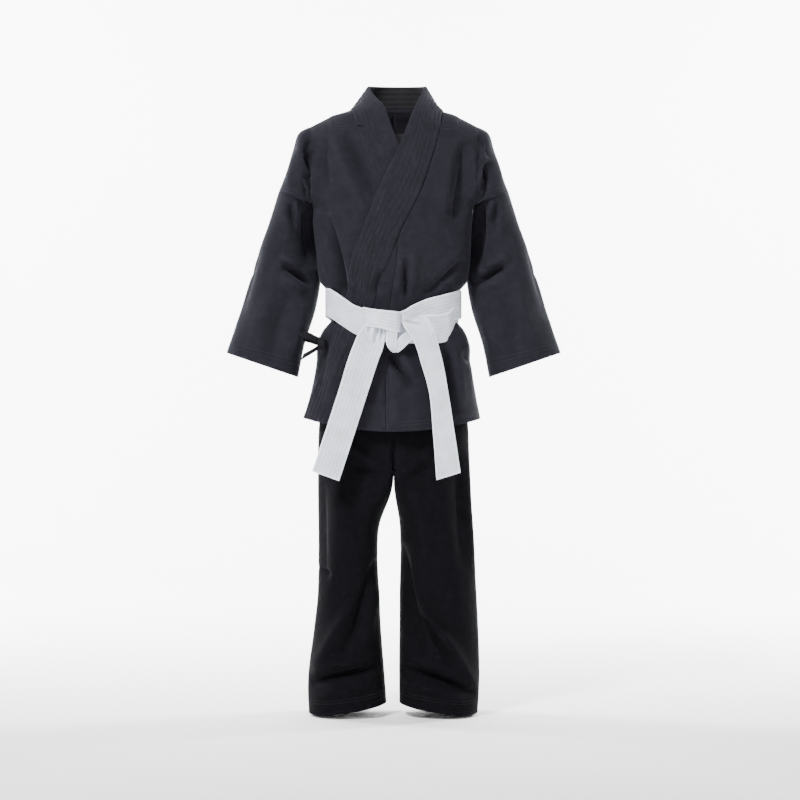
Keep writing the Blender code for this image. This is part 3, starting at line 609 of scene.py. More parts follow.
# The tape bow: one edge, the other edge, both (x, z), and the middle's y
BOW_LOOP = (
    ((-0.096, -0.335), (-0.095, -0.326), -0.03),
    ((-0.104, -0.3325), (-0.1045, -0.3225), -0.033),
    ((-0.1135, -0.327), (-0.115, -0.317), -0.035),
    ((-0.123, -0.324), (-0.1245, -0.314), -0.034),
    ((-0.1275, -0.3245), (-0.13, -0.3165), -0.029),
    ((-0.1255, -0.3275), (-0.127, -0.3195), -0.024),
    ((-0.115, -0.331), (-0.116, -0.323), -0.023),
    ((-0.103, -0.335), (-0.103, -0.327), -0.024),
)
BOW_END = (
    ((-0.096, -0.335), (-0.095, -0.3265), -0.034),
    ((-0.105, -0.34), (-0.102, -0.3305), -0.037),
    ((-0.113, -0.345), (-0.1085, -0.336), -0.0385),
    ((-0.123, -0.351), (-0.119, -0.342), -0.038),
    ((-0.129, -0.3545), (-0.1255, -0.3455), -0.037),
)
BOW_KNOT = (
    ((-0.1045, -0.3225), (-0.095, -0.3215), -0.035),
    ((-0.105, -0.329), (-0.0955, -0.328), -0.04),
    ((-0.104, -0.336), (-0.095, -0.335), -0.04),
    ((-0.1025, -0.34), (-0.0945, -0.339), -0.0345),
)


def jacket_field():
    """The folds of the jacket's body; they die out under the belt."""
    folds = fold_field(CHEST_FOLDS + SKIRT_FOLDS, BACK_FOLDS)

    def field(points, normals):
        z = points[..., 2]
        free = 1 - ramp(-np.abs(z + 0.292), -0.036, -0.02)
        shallow = 1 - 0.75 * (1 - free)
        hem_wave = 0.0022 * np.sin(points[..., 0] * 88.0) * ramp(-z, 0.36, 0.45)
        over_patch = ramp(-np.abs(points[..., 0]), -PATCH_SIDE - 0.001, -PATCH_SIDE + 0.001)
        over_patch = over_patch * ramp(z, PATCH_BOTTOM - 0.001, PATCH_BOTTOM + 0.001)
        return folds(points, normals) * shallow + hem_wave + PATCH_RELIEF * over_patch
    return field


JACKET_FIELD = jacket_field()


# ---------------------------------------------------------------- materials

def node(tree, kind, **inputs):
    made = tree.nodes.new(kind)
    for name, value in inputs.items():
        made.inputs[name].default_value = value
    return made


def rescale(tree, source, old, new):
    """A value moved from one range to another."""
    made = tree.nodes.new("ShaderNodeMapRange")
    for label, value in zip(("From Min", "From Max", "To Min", "To Max"), (*old, *new)):
        made.inputs[label].default_value = value
    tree.links.new(source, made.inputs["Value"])
    return made.outputs["Result"]


def cotton(name, colour, tint, pitch, roughness, sheen, relief=0.25, blotch=60.0, specular=0.12, crease_shade=0.78):
    """Woven cotton: a diagonal twill, uneven dye, and painted light from pointiness: a painted highlight on
    the ridges and painted shade darkening the creases.
    """
    material = bpy.data.materials.new(name)
    material.use_nodes = True
    tree = material.node_tree
    shader = tree.nodes["Principled BSDF"]
    for label, value in (("Roughness", roughness), ("Sheen Weight", sheen), ("Sheen Roughness", 0.45),
                         ("Sheen Tint", (*tint, 1.0)), ("Specular IOR Level", specular)):
        shader.inputs[label].default_value = value
    where = tree.nodes.new("ShaderNodeTexCoord")
    millimetres = tree.nodes.new("ShaderNodeMapping")
    millimetres.inputs["Scale"].default_value = (1000.0, 1000.0, 1000.0)
    tree.links.new(where.outputs["UV"], millimetres.inputs["Vector"])

    twill = node(tree, "ShaderNodeTexWave", Scale=0.314 / pitch, Distortion=1.2, Detail=1.0)
    twill.bands_direction = "DIAGONAL"
    tree.links.new(millimetres.outputs["Vector"], twill.inputs["Vector"])
    yarn = node(tree, "ShaderNodeTexNoise", Scale=1.4, Detail=2.0)
    tree.links.new(millimetres.outputs["Vector"], yarn.inputs["Vector"])
    cloud = node(tree, "ShaderNodeTexNoise", Scale=blotch, Detail=5.0, Roughness=0.62)
    tree.links.new(where.outputs["Object"], cloud.inputs["Vector"])
    geometry = tree.nodes.new("ShaderNodeNewGeometry")
    product = rescale(tree, cloud.outputs["Fac"], (0.25, 0.75), (0.82, 1.18))
    # Painted light from pointiness: creases are darkened down to crease_shade (painted shade) and ridges
    # lightened up to 1.14 (painted highlight).
    for factor in (rescale(tree, geometry.outputs["Pointiness"], (0.44, 0.56), (crease_shade, 1.14)),
                   rescale(tree, twill.outputs["Fac"], (0.0, 1.0), (0.88, 1.12)),
                   rescale(tree, yarn.outputs["Fac"], (0.3, 0.7), (0.9, 1.1))):
        times = tree.nodes.new("ShaderNodeMath")
        times.operation = "MULTIPLY"
        tree.links.new(product, times.inputs[0])
        tree.links.new(factor, times.inputs[1])
        product = times.outputs["Value"]
    paint = tree.nodes.new("ShaderNodeVectorMath")
    paint.operation = "SCALE"
    paint.inputs[0].default_value = colour
    tree.links.new(product, paint.inputs["Scale"])
    tree.links.new(paint.outputs["Vector"], shader.inputs["Base Color"])

    weave = node(tree, "ShaderNodeBump", Strength=relief, Distance=0.0003)
    tree.links.new(twill.outputs["Fac"], weave.inputs["Height"])
    slub = node(tree, "ShaderNodeBump", Strength=relief * 0.6, Distance=0.0004)
    tree.links.new(yarn.outputs["Fac"], slub.inputs["Height"])
    tree.links.new(weave.outputs["Normal"], slub.inputs["Normal"])
    crumple = node(tree, "ShaderNodeTexNoise", Scale=blotch * 1.6, Detail=3.0, Roughness=0.55)
    tree.links.new(where.outputs["Object"], crumple.inputs["Vector"])
    wrinkle = node(tree, "ShaderNodeBump", Strength=0.35, Distance=0.0022)
    tree.links.new(crumple.outputs["Fac"], wrinkle.inputs["Height"])
    tree.links.new(slub.outputs["Normal"], wrinkle.inputs["Normal"])
    tree.links.new(wrinkle.outputs["Normal"], shader.inputs["Normal"])
    return material


# Each cotton below has painted shade in its creases and a painted highlight on its ridges, set by
# crease_shade.
BLACK = cotton("black_cotton", (0.0106, 0.0104, 0.015), (0.72, 0.76, 1.0), 0.8, 0.9, 0.035)
BLACK_BAND = cotton("black_cotton_band", (0.0106, 0.0104, 0.0148), (0.72, 0.76, 1.0), 0.8, 0.88, 0.035)
# The neck band's cotton is the same black painted lighter: painted light standing for the lit inside of the
# band.
BLACK_NECK_LIT = cotton("black_cotton_neck_lit", (0.015, 0.0148, 0.0172), (0.8, 0.8, 1.0), 0.8, 0.9, 0.03)
BLACK_TROUSER = cotton("black_cotton_trousers", (0.0028, 0.0026, 0.0039), (0.72, 0.76, 1.0), 0.8, 0.94, 0.0,
                       specular=0.07)
# The belt's crease_shade of 0.42 paints deep shade into the belt's creases and hollows.
WHITE = cotton("white_cotton", (0.79, 0.825, 0.915), (1.0, 1.0, 1.0), 0.9, 0.8, 0.08, relief=0.3, blotch=45.0,
               crease_shade=0.42)
TAPE = cotton("black_tape", (0.006, 0.0062, 0.008), (0.7, 0.75, 1.0), 0.6, 0.8, 0.03)
# The black thread is lighter than the cloth: a painted highlight along the stitch rows.
BLACK_THREAD = cotton("black_thread", (0.02, 0.02, 0.0265), (0.8, 0.85, 1.0), 0.4, 0.6, 0.08)
# The white thread is darker than the belt cloth: painted shade along the belt's stitch rows.
WHITE_THREAD = cotton("white_thread", (0.6, 0.625, 0.71), (1.0, 1.0, 1.0), 0.4, 0.6, 0.1)
LABEL = cotton("plain_label", (0.02, 0.018, 0.019), (1.0, 1.0, 1.0), 0.4, 0.55, 0.05)
RUBBER = cotton("white_elastic", (0.6, 0.6, 0.58), (1.0, 1.0, 1.0), 1.2, 0.7, 0.05)


# ---------------------------------------------------------------- jacket body

def finish_cloth(piece, material, wall, nodes, outward=True):
    piece.data.materials.append(material)
    thicken(piece, wall, outward)
    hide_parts(*nodes)


def front_lift(angle, outer):
    """The outer front lies a layer further out, except near the side where both become one."""
    if not outer:
        return np.zeros_like(angle)
    return LAYER * (1 - ramp(np.abs(angle), math.radians(58), math.radians(86)))


def span_ring(span, side, angles):
    """An oval sleeve section: angle 0 is its outer edge, pi its inner edge, the front between."""
    outer = np.array([side * span.outer[0], 0.0, span.outer[1]])
    inner = np.array([side * span.inner[0], span.back, span.inner[1]])
    across = power(np.cos(angles), 2 / ROUNDNESS)[:, None] * (outer - inner) / 2
    deep = -power(np.sin(angles), 2 / ROUNDNESS)[:, None] * np.array([0.0, span.half_depth, 0.0])
    return (outer + inner) / 2 + across + deep


def body_half(side):
    """One side of the jacket: front, shoulder, back and the dropped shoulder, in one cloth."""
    outer = side > 0
    seam = OUTER_LAPEL_SEAM if outer else INNER_LAPEL_SEAM
    z = heights(JACKET, JACKET[0].z, HEM)
    width, _ = size_at(JACKET, z)
    open_rows = np.where(width > ARMHOLE_X)[0]
    open_rows = open_rows[z[open_rows] > ARMPIT]
    armhole = np.where(width > ARMHOLE_X, front_angle(JACKET, z, ARMHOLE_X), math.pi / 2)
    armhole = np.where(z > ARMPIT, armhole, math.pi / 2)
    if outer:
        low = ramp(-z, 0.15, 0.2)
        signed_inner = smooth(seam, z) * (1 - low) + smooth(OUTER_OVERLAP_SEAM, z) * low
    else:
        signed_inner = -smooth(seam, z)
    start = front_angle(JACKET, z, np.minimum(width * 0.999, signed_inner + 0.0004))
    start = np.minimum(start, armhole - 0.01)
    front_columns, back_columns = 58, 50
    share = np.linspace(0, 1, front_columns)
    front_angles = start[:, None] + (armhole - start)[:, None] * share[None, :]
    front = around(JACKET, z[:, None] + 0 * front_angles, front_angles)
    lift = front_lift(front_angles, outer)
    width_lifted = around(JACKET, z[:, None] + 0 * front_angles, front_angles, 1.0) - front
    front = front + width_lifted * lift[..., None]
    share = np.linspace(0, 1, back_columns)[1:]
    back_start = math.pi - armhole
    back_angles = back_start[:, None] + (math.pi - back_start)[:, None] * share[None, :]
    back = around(JACKET, z[:, None] + 0 * back_angles, back_angles)
    hinge_back = around(JACKET, z, back_start)

    front, back, hinge_back = (raise_hem(p) for p in (front, back, hinge_back))
    for points in (front, back, hinge_back):
        points[..., 0] *= side

    rows = len(z)
    vertices = [front.reshape(-1, 3), back.reshape(-1, 3), hinge_back]
    back_first = rows * front_columns
    hinge_first = back_first + rows * (back_columns - 1)
    is_open = np.zeros(rows, bool)
    is_open[open_rows[1:-1]] = True
    faces = [grid_faces(rows, front_columns), grid_faces(rows, back_columns - 1, first=back_first)]
    bridge = []
    for row in range(rows - 1):
        left = [row * front_columns + front_columns - 1, (row + 1) * front_columns + front_columns - 1]
        left = [hinge_first + row if is_open[row] else left[0],
                hinge_first + row + 1 if is_open[row + 1] else left[1]]
        right = [back_first + row * (back_columns - 1), back_first + (row + 1) * (back_columns - 1)]
        bridge.append((left[0], left[1], right[1], right[0]))
    faces.append(np.array(bridge))

    # the dropped shoulder: rings from the armhole to its seam
    open_list = [r for r in range(rows) if is_open[r]]
    first_row, last_row = open_list[0] - 1, open_list[-1] + 1
    ring_rows = [first_row, *open_list, last_row]
    front_edge = [row * front_columns + front_columns - 1 for row in ring_rows]
    back_edge = [hinge_first + row for row in reversed(open_list)]
    ring = np.array(front_edge + back_edge)
    everything = np.concatenate(vertices)
    armhole_ring = everything[ring]
    drop = (z[first_row] - z[ring_rows]) / (z[first_row] - z[last_row])
    front_turn = np.arccos(np.clip(1 - 2 * drop, -1, 1))
    turns = np.r_[front_turn, 2 * math.pi - front_turn[1:-1][::-1]]
    before = np.concatenate([
        everything[np.array(front_edge) - 3],
        everything[[back_first + row * (back_columns - 1) + 2 for row in reversed(open_list)]]])
    rings = [before, armhole_ring, *(span_ring(span, side, turns) for span in SHOULDER_CAP)]
    rings.append(span_ring(SLEEVE[1], side, turns))
    rings = np.array(rings)
    steps = 30
    cap_rows = np.stack([between_points(rings[:, column], 1, len(rings) - 2, steps + 1)[1:]
                         for column in range(len(ring))], axis=1)
    cap_first = len(everything)
    vertices.append(cap_rows.reshape(-1, 3))
    size = len(ring)
    cap_faces = grid_faces(steps, size, closed=True, first=cap_first)
    follow = np.roll(np.arange(size), -1)
    join = np.stack([ring, cap_first + np.arange(size), cap_first + follow, ring[follow]], -1)
    faces += [join[:, ::-1], cap_faces[:, ::-1]]

    vertices = np.concatenate(vertices)
    faces = np.concatenate(faces)
    if side < 0:
        faces = faces[:, ::-1]
    across = vertices[:, 0] + np.abs(vertices[:, 1]) * np.sign(vertices[:, 1]) * 0.8
    uv = np.stack([across, vertices[:, 2]], -1)
    label = SIDE_NAMES[side]
    piece = make_mesh(f"jacket_body_{label}", vertices, faces, uv)
    tidy_mesh(piece)
    displace(piece, JACKET_FIELD)
    finish_cloth(piece, BLACK, CLOTH, [f"front_panel_{label}", f"back_panel_{label}",
                                                       f"shoulder_cap_{label}", f"shoulder_patch_{label}"])
    return piece


@contextmanager
def editing(piece):
    """A piece's mesh as a bmesh, written back when the with block ends."""
    work = bmesh.new()
    work.from_mesh(piece.data)
    yield work
    work.to_mesh(piece.data)
    work.free()
    piece.data.shade_smooth()


def tidy_mesh(piece):
    """Welds doubled points and drops faces with no area and loose points."""
    with editing(piece) as work:
        bmesh.ops.remove_doubles(work, verts=work.verts, dist=0.00004)
        bmesh.ops.dissolve_degenerate(work, edges=work.edges, dist=0.00003)
        loose = [v for v in work.verts if not v.link_faces]
        bmesh.ops.delete(work, geom=loose, context="VERTS")


def relax(piece, times):
    """Evens out the cloth inside its free edges."""
    with editing(piece) as work:
        inner = [v for v in work.verts if not v.is_boundary]
        for _ in range(times):
            bmesh.ops.smooth_vert(work, verts=inner, factor=0.5, use_axis_x=True, use_axis_y=True,
                                  use_axis_z=False)


def displace(piece, field):
    mesh = piece.data
    count = len(mesh.vertices)
    points = np.zeros(count * 3)
    mesh.vertices.foreach_get("co", points)
    points = points.reshape(-1, 3)
    normals = np.zeros(count * 3, np.float32)
    mesh.vertex_normals.foreach_get("vector", normals)
    normals = normals.reshape(-1, 3).astype(float)
    normals[np.abs(points[:, 0]) < 0.0002, 0] = 0.0
    moved = press(points, normals, field)
    mesh.vertices.foreach_set("co", moved.astype(np.float32).ravel())
    mesh.update()


def blend_shoulder(piece):
    """Bakes the piece's placement into its mesh."""
    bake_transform(piece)


def body_row(z, angles, lift=0.0):
    """Lines that meet the jacket's body at these heights and angles, from outside."""
    z = np.broadcast_to(z, np.shape(angles))
    outside = raise_hem(around(JACKET, z, angles, lift + 0.03))
    inside = raise_hem(around(JACKET, z, angles, lift - 0.022))
    return outside, inside


def body_stitching(piece, side):
    """Hem, shoulder patch and the dropped shoulder's seam on one half of the jacket."""
    tree = surface(piece)
    rows = []
    wide = np.radians(np.linspace(3, 180, 420)) * side
    for rise in HEM_ROWS:
        rows.append(cast(tree, *body_row(HEM + rise, wide)))
    for down in SHOULDER_ROWS:
        span = SHOULDER_CAP[-1]
        raised = Span((span.outer[0] - down * 0.35, span.outer[1] + down),
                      (span.inner[0], span.inner[1] + down), span.half_depth, span.back)
        rows.append(cast(tree, *span_row(raised, side)))
    for inset in PATCH_ROWS:
        across = side * np.linspace(0.058, PATCH_SIDE - inset, 60)
        down = np.linspace(PATCH_BOTTOM + inset, -0.012, 40)
        edge_x = np.r_[across, np.full_like(down, side * (PATCH_SIDE - inset))]
        edge_z = np.r_[np.full_like(across, PATCH_BOTTOM + inset), down]
        for far in (-0.2, 0.2):
            rows.append(cast(tree, np.stack([edge_x, np.full_like(edge_x, far), edge_z], -1),
                             np.stack([edge_x, np.zeros_like(edge_x), edge_z], -1)))
    back = np.linspace(0.002, -0.448, 300)
    for off in BACK_SEAM_ROWS:
        x = np.full_like(back, side * off)
        rows.append(cast(tree, np.stack([x, np.full_like(x, 0.2), back], -1),
                         np.stack([x, np.full_like(x, 0.01), back], -1)))
    return stitches(f"{piece.name}_stitching", rows, BLACK_THREAD)


def span_row(span, side):
    """Lines that meet a sleeve at one section, from outside."""
    ring = span_ring(span, side, np.linspace(0, 2 * math.pi, 220))
    centre = ring.mean(axis=0)
    return centre + (ring - centre) * 1.35, centre + (ring - centre) * 0.45


# ---------------------------------------------------------------- lapels and neck

def quilt(across, rows, puff):
    """The relief between parallel rows of stitching; across runs from 0 to 1."""
    phase = np.abs(np.sin(np.pi * rows * across))
    return puff * phase ** 0.6


def lapel(name, top, free_edge, seam, lift, side, nodes, wall):
    columns = 50
    share = np.linspace(0, 1, columns)
    z = heights(JACKET, -0.03, HEM, 0.0028)
    near = front_angle(JACKET, z, smooth(free_edge, z), lift)
    far = front_angle(JACKET, z, smooth(seam, z), lift)
    angle = near[:, None] + (far - near)[:, None] * share
    body = raise_hem(around(JACKET, z[:, None] + 0 * angle, angle, lift))
    stations = [np.array(free) + (np.array(sewn) - np.array(free)) * share[:, None] for free, sewn in top]
    stations += [body[0], body[6]]
    roll = []
    for column in range(columns):
        line = through([station[column] for station in stations], 40)
        roll.append(line)
    roll = np.stack(roll, axis=1)
    last = np.argmin(np.linalg.norm(roll[:, columns // 2] - body[0][columns // 2], axis=1))
    points = np.concatenate([roll[:last], body])
    if side < 0:
        points = points[:, ::-1]
        share = share[::-1]
    normals = grid_normals(points)
    points = press(points, normals, JACKET_FIELD)
    points = points + normals * quilt(share, LAPEL_CHANNELS, 0.0006)[None, :, None]
    piece = make_mesh(name, points.reshape(-1, 3), grid_faces(*points.shape[:2]),
                      grid_uv(points).reshape(-1, 2))
    finish_cloth(piece, BLACK_BAND, wall, nodes)
    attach(piece, "jacket")
    tree = surface(piece)
    rows = []
    for channel in range(LAPEL_CHANNELS + 1):
        column = int(round(np.clip(channel / LAPEL_CHANNELS, 0.02, 0.98) * (columns - 1)))
        line, up = points[:, column], grid_normals(points)[:, column]
        rows.append(cast(tree, line + up * 0.01, line))
    across = int(np.argmin(np.abs(points[:, columns // 2, 2] - LAPEL_TACK)))
    line, up = points[across], grid_normals(points)[across]
    rows.append(cast(tree, line + up * 0.01, line))
    sewn = stitches(f"{name}_stitching", rows, BLACK_THREAD)
    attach(sewn, "jacket")


def neck_band():
    columns, rows = 90, 26
    share = np.linspace(0, 1, rows)
    angle = np.linspace(math.pi / 2 - 0.02, 1.5 * math.pi + 0.02, columns)
    behind = np.clip(-np.cos(angle), 0, 1)
    points = []
    for t in share:
        z = NECK_TOP.z + t * (NECK_BOTTOM.z - NECK_TOP.z) + NECK_BACK_RISE * behind
        width = NECK_TOP.half_width + t * (NECK_BOTTOM.half_width - NECK_TOP.half_width)
        depth = NECK_TOP.half_depth + t * (NECK_BOTTOM.half_depth - NECK_TOP.half_depth)
        x = width * power(np.sin(angle), 2 / ROUNDNESS) + NECK_SHIFT * (1 - t)
        y = -depth * power(np.cos(angle), 2 / ROUNDNESS)
        points.append(np.stack([x, y, z], -1))
    points = np.array(points)
    normals = grid_normals(points)
    points = points + normals * quilt(share, 5, 0.0008)[:, None, None]
    piece = make_mesh("neck_band_cloth", points.reshape(-1, 3), grid_faces(rows, columns),
                      grid_uv(points).reshape(-1, 2))
    finish_cloth(piece, BLACK_NECK_LIT, BAND, ["neck_band"])
    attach(piece, "jacket")
    tree = surface(piece)
    normals = grid_normals(points)
    rows = []
    for row in (1, 5, 10, 15, 20, 24):
        rows.append(cast(tree, points[row] - normals[row] * 0.01, points[row] + normals[row] * 0.001))
        rows.append(cast(tree, points[row] + normals[row] * 0.01, points[row]))
    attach(stitches("neck_band_cloth_stitching", rows, BLACK_THREAD), "jacket")


def overlap_panel(name, near_edge, far_edge, top, lift, nodes):
    """The front's extra width between the lapel and the main front."""
    z = heights(JACKET, top, HEM)
    columns = 30
    near = front_angle(JACKET, z, smooth(near_edge, z) + 0.0004, lift)
    far = front_angle(JACKET, z, smooth(far_edge, z) - 0.0004, lift)
    low, high = np.minimum(near, far), np.maximum(near, far)
    angle = low[:, None] + (high - low)[:, None] * np.linspace(0, 1, columns)
    points = raise_hem(around(JACKET, z[:, None] + 0 * angle, angle, lift))
    points = press(points, grid_normals(points), JACKET_FIELD)
    piece = make_mesh(name, points.reshape(-1, 3), grid_faces(*points.shape[:2]),
                      grid_uv(points).reshape(-1, 2))
    finish_cloth(piece, BLACK, CLOTH, nodes)
    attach(piece, "jacket")


# ---------------------------------------------------------------- sleeves

def sleeve(side):
    label = SIDE_NAMES[side]
    columns, rows = 96, 92
    turns = np.linspace(0, 2 * math.pi, columns, endpoint=False)
    stations = np.array([span_ring(span, side, turns) for span in SLEEVE])
    points = np.stack([through(stations[:, column], rows) for column in range(columns)], axis=1)
    if side > 0:
        points = points[:, ::-1]
    closed = np.concatenate([points, points[:, :1]], axis=1)
    normals = grid_normals(closed)[:, :-1]
    folds = SLEEVE_FOLDS if side > 0 else mirrored(SLEEVE_FOLDS)
    field = fold_field(folds, SLEEVE_BACK_FOLDS if side > 0 else mirrored(SLEEVE_BACK_FOLDS))
    points = press(points, normals, field)
    uv = grid_uv(points)
    piece = make_mesh(f"sleeve_cloth_{label}", points.reshape(-1, 3), grid_faces(rows, columns, closed=True),
                      uv.reshape(-1, 2))
    finish_cloth(piece, BLACK, CLOTH, [f"sleeve_{label}", f"cuff_facing_{label}"],
                 outward=False)
    tree = surface(piece)
    last, above = SLEEVE[-1], SLEEVE[-2]
    length = np.linalg.norm(np.subtract(last.outer, above.outer))
    rows = []
    for rise in CUFF_ROWS:
        share = 1 - rise / length
        ring = Span(tuple(np.add(above.outer, share * np.subtract(last.outer, above.outer))),
                    tuple(np.add(above.inner, share * np.subtract(last.inner, above.inner))), last.half_depth)
        rows.append(cast(tree, *span_row(ring, side)))
    sewn = stitches(f"sleeve_cloth_{label}_stitching", rows, BLACK_THREAD)
    return piece, sewn


# ---------------------------------------------------------------- trousers

def leg_section(sections, z):
    inner = smooth([(s.z, s.inner) for s in sections], z)
    outer = smooth([(s.z, s.outer) for s in sections], z)
    depth = smooth([(s.z, s.half_depth) for s in sections], z)
    return inner, outer, depth


def trouser_half(side, sections):
    """One leg with its half of the seat, in one cloth."""
    label = SIDE_NAMES[side]
    z = np.r_[np.arange(TROUSERS[0].z - 0.001, CROTCH, -GRID), np.arange(CROTCH, sections[-1].z, -GRID),
              sections[-1].z]
    rows = len(z)
    split = int(np.sum(z > CROTCH + 1e-6))
    outer_columns, inner_columns = 76, 30
    wrap = math.radians(38)
    t = np.linspace(0, 1, outer_columns)
    mix = ramp(-z, -CROTCH, -LEG_FORMED)[:, None]
    hip = around(TROUSERS, z[:, None] + 0 * t, math.pi * t[None, :] + 0 * z[:, None])
    hip[..., 0] = np.maximum(hip[..., 0], 0.0) * side

    def leg_points(angles, heights_):
        inner, outer, depth = leg_section(sections, heights_)
        centre, half = (inner + outer) / 2, np.abs(outer - inner) / 2
        x = centre + side * half * power(np.sin(angles), 2 / ROUNDNESS)
        y = -depth * power(np.cos(angles), 2 / ROUNDNESS)
        return np.stack([x, y, heights_ + 0 * x], -1)

    z_grid = z[:, None] + 0 * t
    leg = leg_points((-wrap + (math.pi + 2 * wrap) * t)[None, :] + 0 * z_grid, z_grid)
    outside = hip * (1 - mix[..., None]) + leg * mix[..., None]

    s = np.linspace(0, 1, inner_columns)[1:-1]
    z_low = z[split:]
    droop = 0.01 * (1 - (2 * s - 1) ** 2)[None, :] * (1 - ramp(-z_low, -CROTCH, -LEG_FORMED))[:, None]
    z_inner = z_low[:, None] - droop
    inner_angle = (math.pi + wrap) + (math.pi - 2 * wrap) * s
    leg_in = leg_points(inner_angle[None, :] + 0 * z_inner, z_inner)
    depth_here = np.abs(outside[split:, :1, 1])
    seat_in = np.stack([np.zeros_like(z_inner), depth_here * (1 - 2 * s)[None, :], z_inner], -1)
    mix_low = mix[split:][..., None]
    inside = seat_in * (1 - mix_low) + leg_in * mix_low

    vertices = np.concatenate([outside.reshape(-1, 3), inside.reshape(-1, 3)])
    last = sections[-1]

    def slant(points):
        inward = np.clip((last.outer - points[:, 0]) / (last.outer - last.inner), 0, 1)
        return (inward - 0.12).clip(0) ** 1.3

    low_down = np.clip((vertices[:, 2] - SLANT_TOP) / (last.z - SLANT_TOP), 0, None)
    vertices[:, 2] += HEM_SLANT * low_down * slant(vertices)
    faces = [grid_faces(rows, outer_columns)]
    first = rows * outer_columns
    faces.append(grid_faces(rows - split, inner_columns - 2, first=first))
    joins = []
    for row in range(split, rows - 1):
        back, next_back = (row + 1) * outer_columns - 1, (row + 2) * outer_columns - 1
        front, next_front = row * outer_columns, (row + 1) * outer_columns
        here = first + (row - split) * (inner_columns - 2)
        below = here + inner_columns - 2
        joins.append((back, next_back, below, here))
        joins.append((here + inner_columns - 3, below + inner_columns - 3, next_front, front))
    faces.append(np.array(joins))
    faces = np.concatenate(faces)
    if side < 0:
        faces = faces[:, ::-1]
    angle = np.arctan2(vertices[:, 0] - side * 0.056, -vertices[:, 1])
    uv = np.stack([angle * 0.05, vertices[:, 2]], -1)
    piece = make_mesh(f"trouser_{label}", vertices, faces, uv)
    tidy_mesh(piece)
    relax(piece, 6)
    displace(piece, fold_field(TROUSER_FOLDS, TROUSER_BACK_FOLDS))
    finish_cloth(piece, BLACK_TROUSER, CLOTH,
                 [f"seat_front_{label}", f"seat_back_{label}", f"leg_front_{label}", f"leg_back_{label}",
                  f"leg_hem_{label}"], outward=False)
    tree = surface(piece)
    rows = []
    turn = np.linspace(-math.pi, math.pi, 260)
    for rise in TROUSER_HEM_ROWS:
        ring = leg_points(turn, np.full_like(turn, sections[-1].z + rise))
        ring[:, 2] += HEM_SLANT * 0.9 * slant(ring)
        centre = ring.mean(axis=0)
        rows.append(cast(tree, centre + (ring - centre) * 1.4, centre + (ring - centre) * 0.5))
    sewn = stitches(f"trouser_{label}_stitching", rows, BLACK_THREAD)
    for made in (piece, sewn):
        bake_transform(made)


# ---------------------------------------------------------------- belt

def ribbon(name, stations, material, slot, wall, rows, closed=False, count=60, puff=0.00025):
    """A flat woven strip with rounded edges and quilted rows. Each station is a middle point and
    half the strip's width as a vector. Returns the strip and the lines of its stitching."""
    path = np.array([m for m, _ in stations], float)
    half = np.array([h for _, h in stations], float)
    if closed:
        tangent = np.roll(path, -1, axis=0) - np.roll(path, 1, axis=0)
    else:
        joined = through(np.concatenate([path, half], axis=1), count)
        path, half = joined[:, :3], joined[:, 3:]
        tangent = np.gradient(path, axis=0)
    tangent /= np.linalg.norm(tangent, axis=1, keepdims=True)
    normal = np.cross(tangent, half)
    normal /= np.linalg.norm(normal, axis=1, keepdims=True)
    columns = rows * 5 + 1
    share = np.linspace(-1, 1, columns)
    edge = np.sqrt(np.clip(1 - ((np.abs(share) - 0.93) / 0.07).clip(0) ** 2, 0, 1))
    relief = quilt((share + 1) / 2, rows, puff)
    face_height = (wall / 2 - puff) * (0.35 + 0.65 * edge) + relief
    section = np.concatenate([np.stack([share, face_height], -1), np.stack([share, -face_height], -1)[::-1]])
    points = (path[:, None, :] + half[:, None, :] * section[None, :, 0:1]
              + normal[:, None, :] * section[None, :, 1:2])
    around_count = len(section)
    faces = grid_faces(len(path), around_count, closed=True)
    if closed:
        last = (len(path) - 1) * around_count
        ring = np.arange(around_count)
        follow = np.roll(ring, -1)
        faces = np.concatenate([faces, np.stack([last + ring, ring, follow, last + follow], -1)])
    along = np.r_[0, np.cumsum(np.linalg.norm(np.diff(path, axis=0), axis=1))]
    uv = np.stack(np.broadcast_arrays(section[None, :, 0] * BELT_WIDTH / 2, along[:, None]), -1)
    all_faces = [tuple(face) for face in faces]
    if not closed:
        start_cap = list(range(around_count))
        end_cap = [(len(path) - 1) * around_count + i for i in range(around_count)]
        for cap in (start_cap, end_cap[::-1]):
            for i in range(around_count // 2 - 1):
                all_faces.append((cap[i], cap[i + 1], cap[around_count - 2 - i], cap[around_count - 1 - i]))
    piece = make_mesh(name, points.reshape(-1, 3), all_faces, uv.reshape(-1, 2))
    fix_normals(piece)
    piece.data.materials.append(material)
    loop, across, upward = (np.concatenate([line, line[:1]]) if closed else line
                            for line in (path, half, normal))
    sewn = []
    for channel in range(1, rows):
        line = loop + across * (2 * channel / rows - 1)
        for facing in (-1, 1):
            sewn.append((line + upward * facing * (wall / 2 - puff), upward * facing))
    return piece, sewn


def belt_strip(name, *shape, **options):
    """A piece of the belt and its stitching."""
    piece, sewn = ribbon(name, *shape, **options)
    return piece, stitches(f"{name}_stitching", sewn, WHITE_THREAD)


def fix_normals(piece):
    with editing(piece) as work:
        bmesh.ops.recalc_face_normals(work, faces=work.faces)


def wrap_stations(route, lift):
    """The belt's way round the waist; route gives its middle's height at each angle."""
    stations = []
    for degrees in np.linspace(-180, 180, 240, endpoint=False):
        z = float(smooth(route, degrees)) + 0.0005 * math.sin(math.radians(5 * degrees + 40))
        middle = around(JACKET, np.array(z), np.array(math.radians(degrees)), lift)
        stations.append((middle, (0.0, 0.0, BELT_WIDTH / 2)))
    return stations


def strip_stations(edges):
    """Middles and half widths from pairs of edge points, (x, z), and the middle's y."""
    stations = []
    for low, high, y in edges:
        middle = ((low[0] + high[0]) / 2, y, (low[1] + high[1]) / 2)
        stations.append((middle, ((high[0] - low[0]) / 2, 0.0, (high[1] - low[1]) / 2)))
    return stations


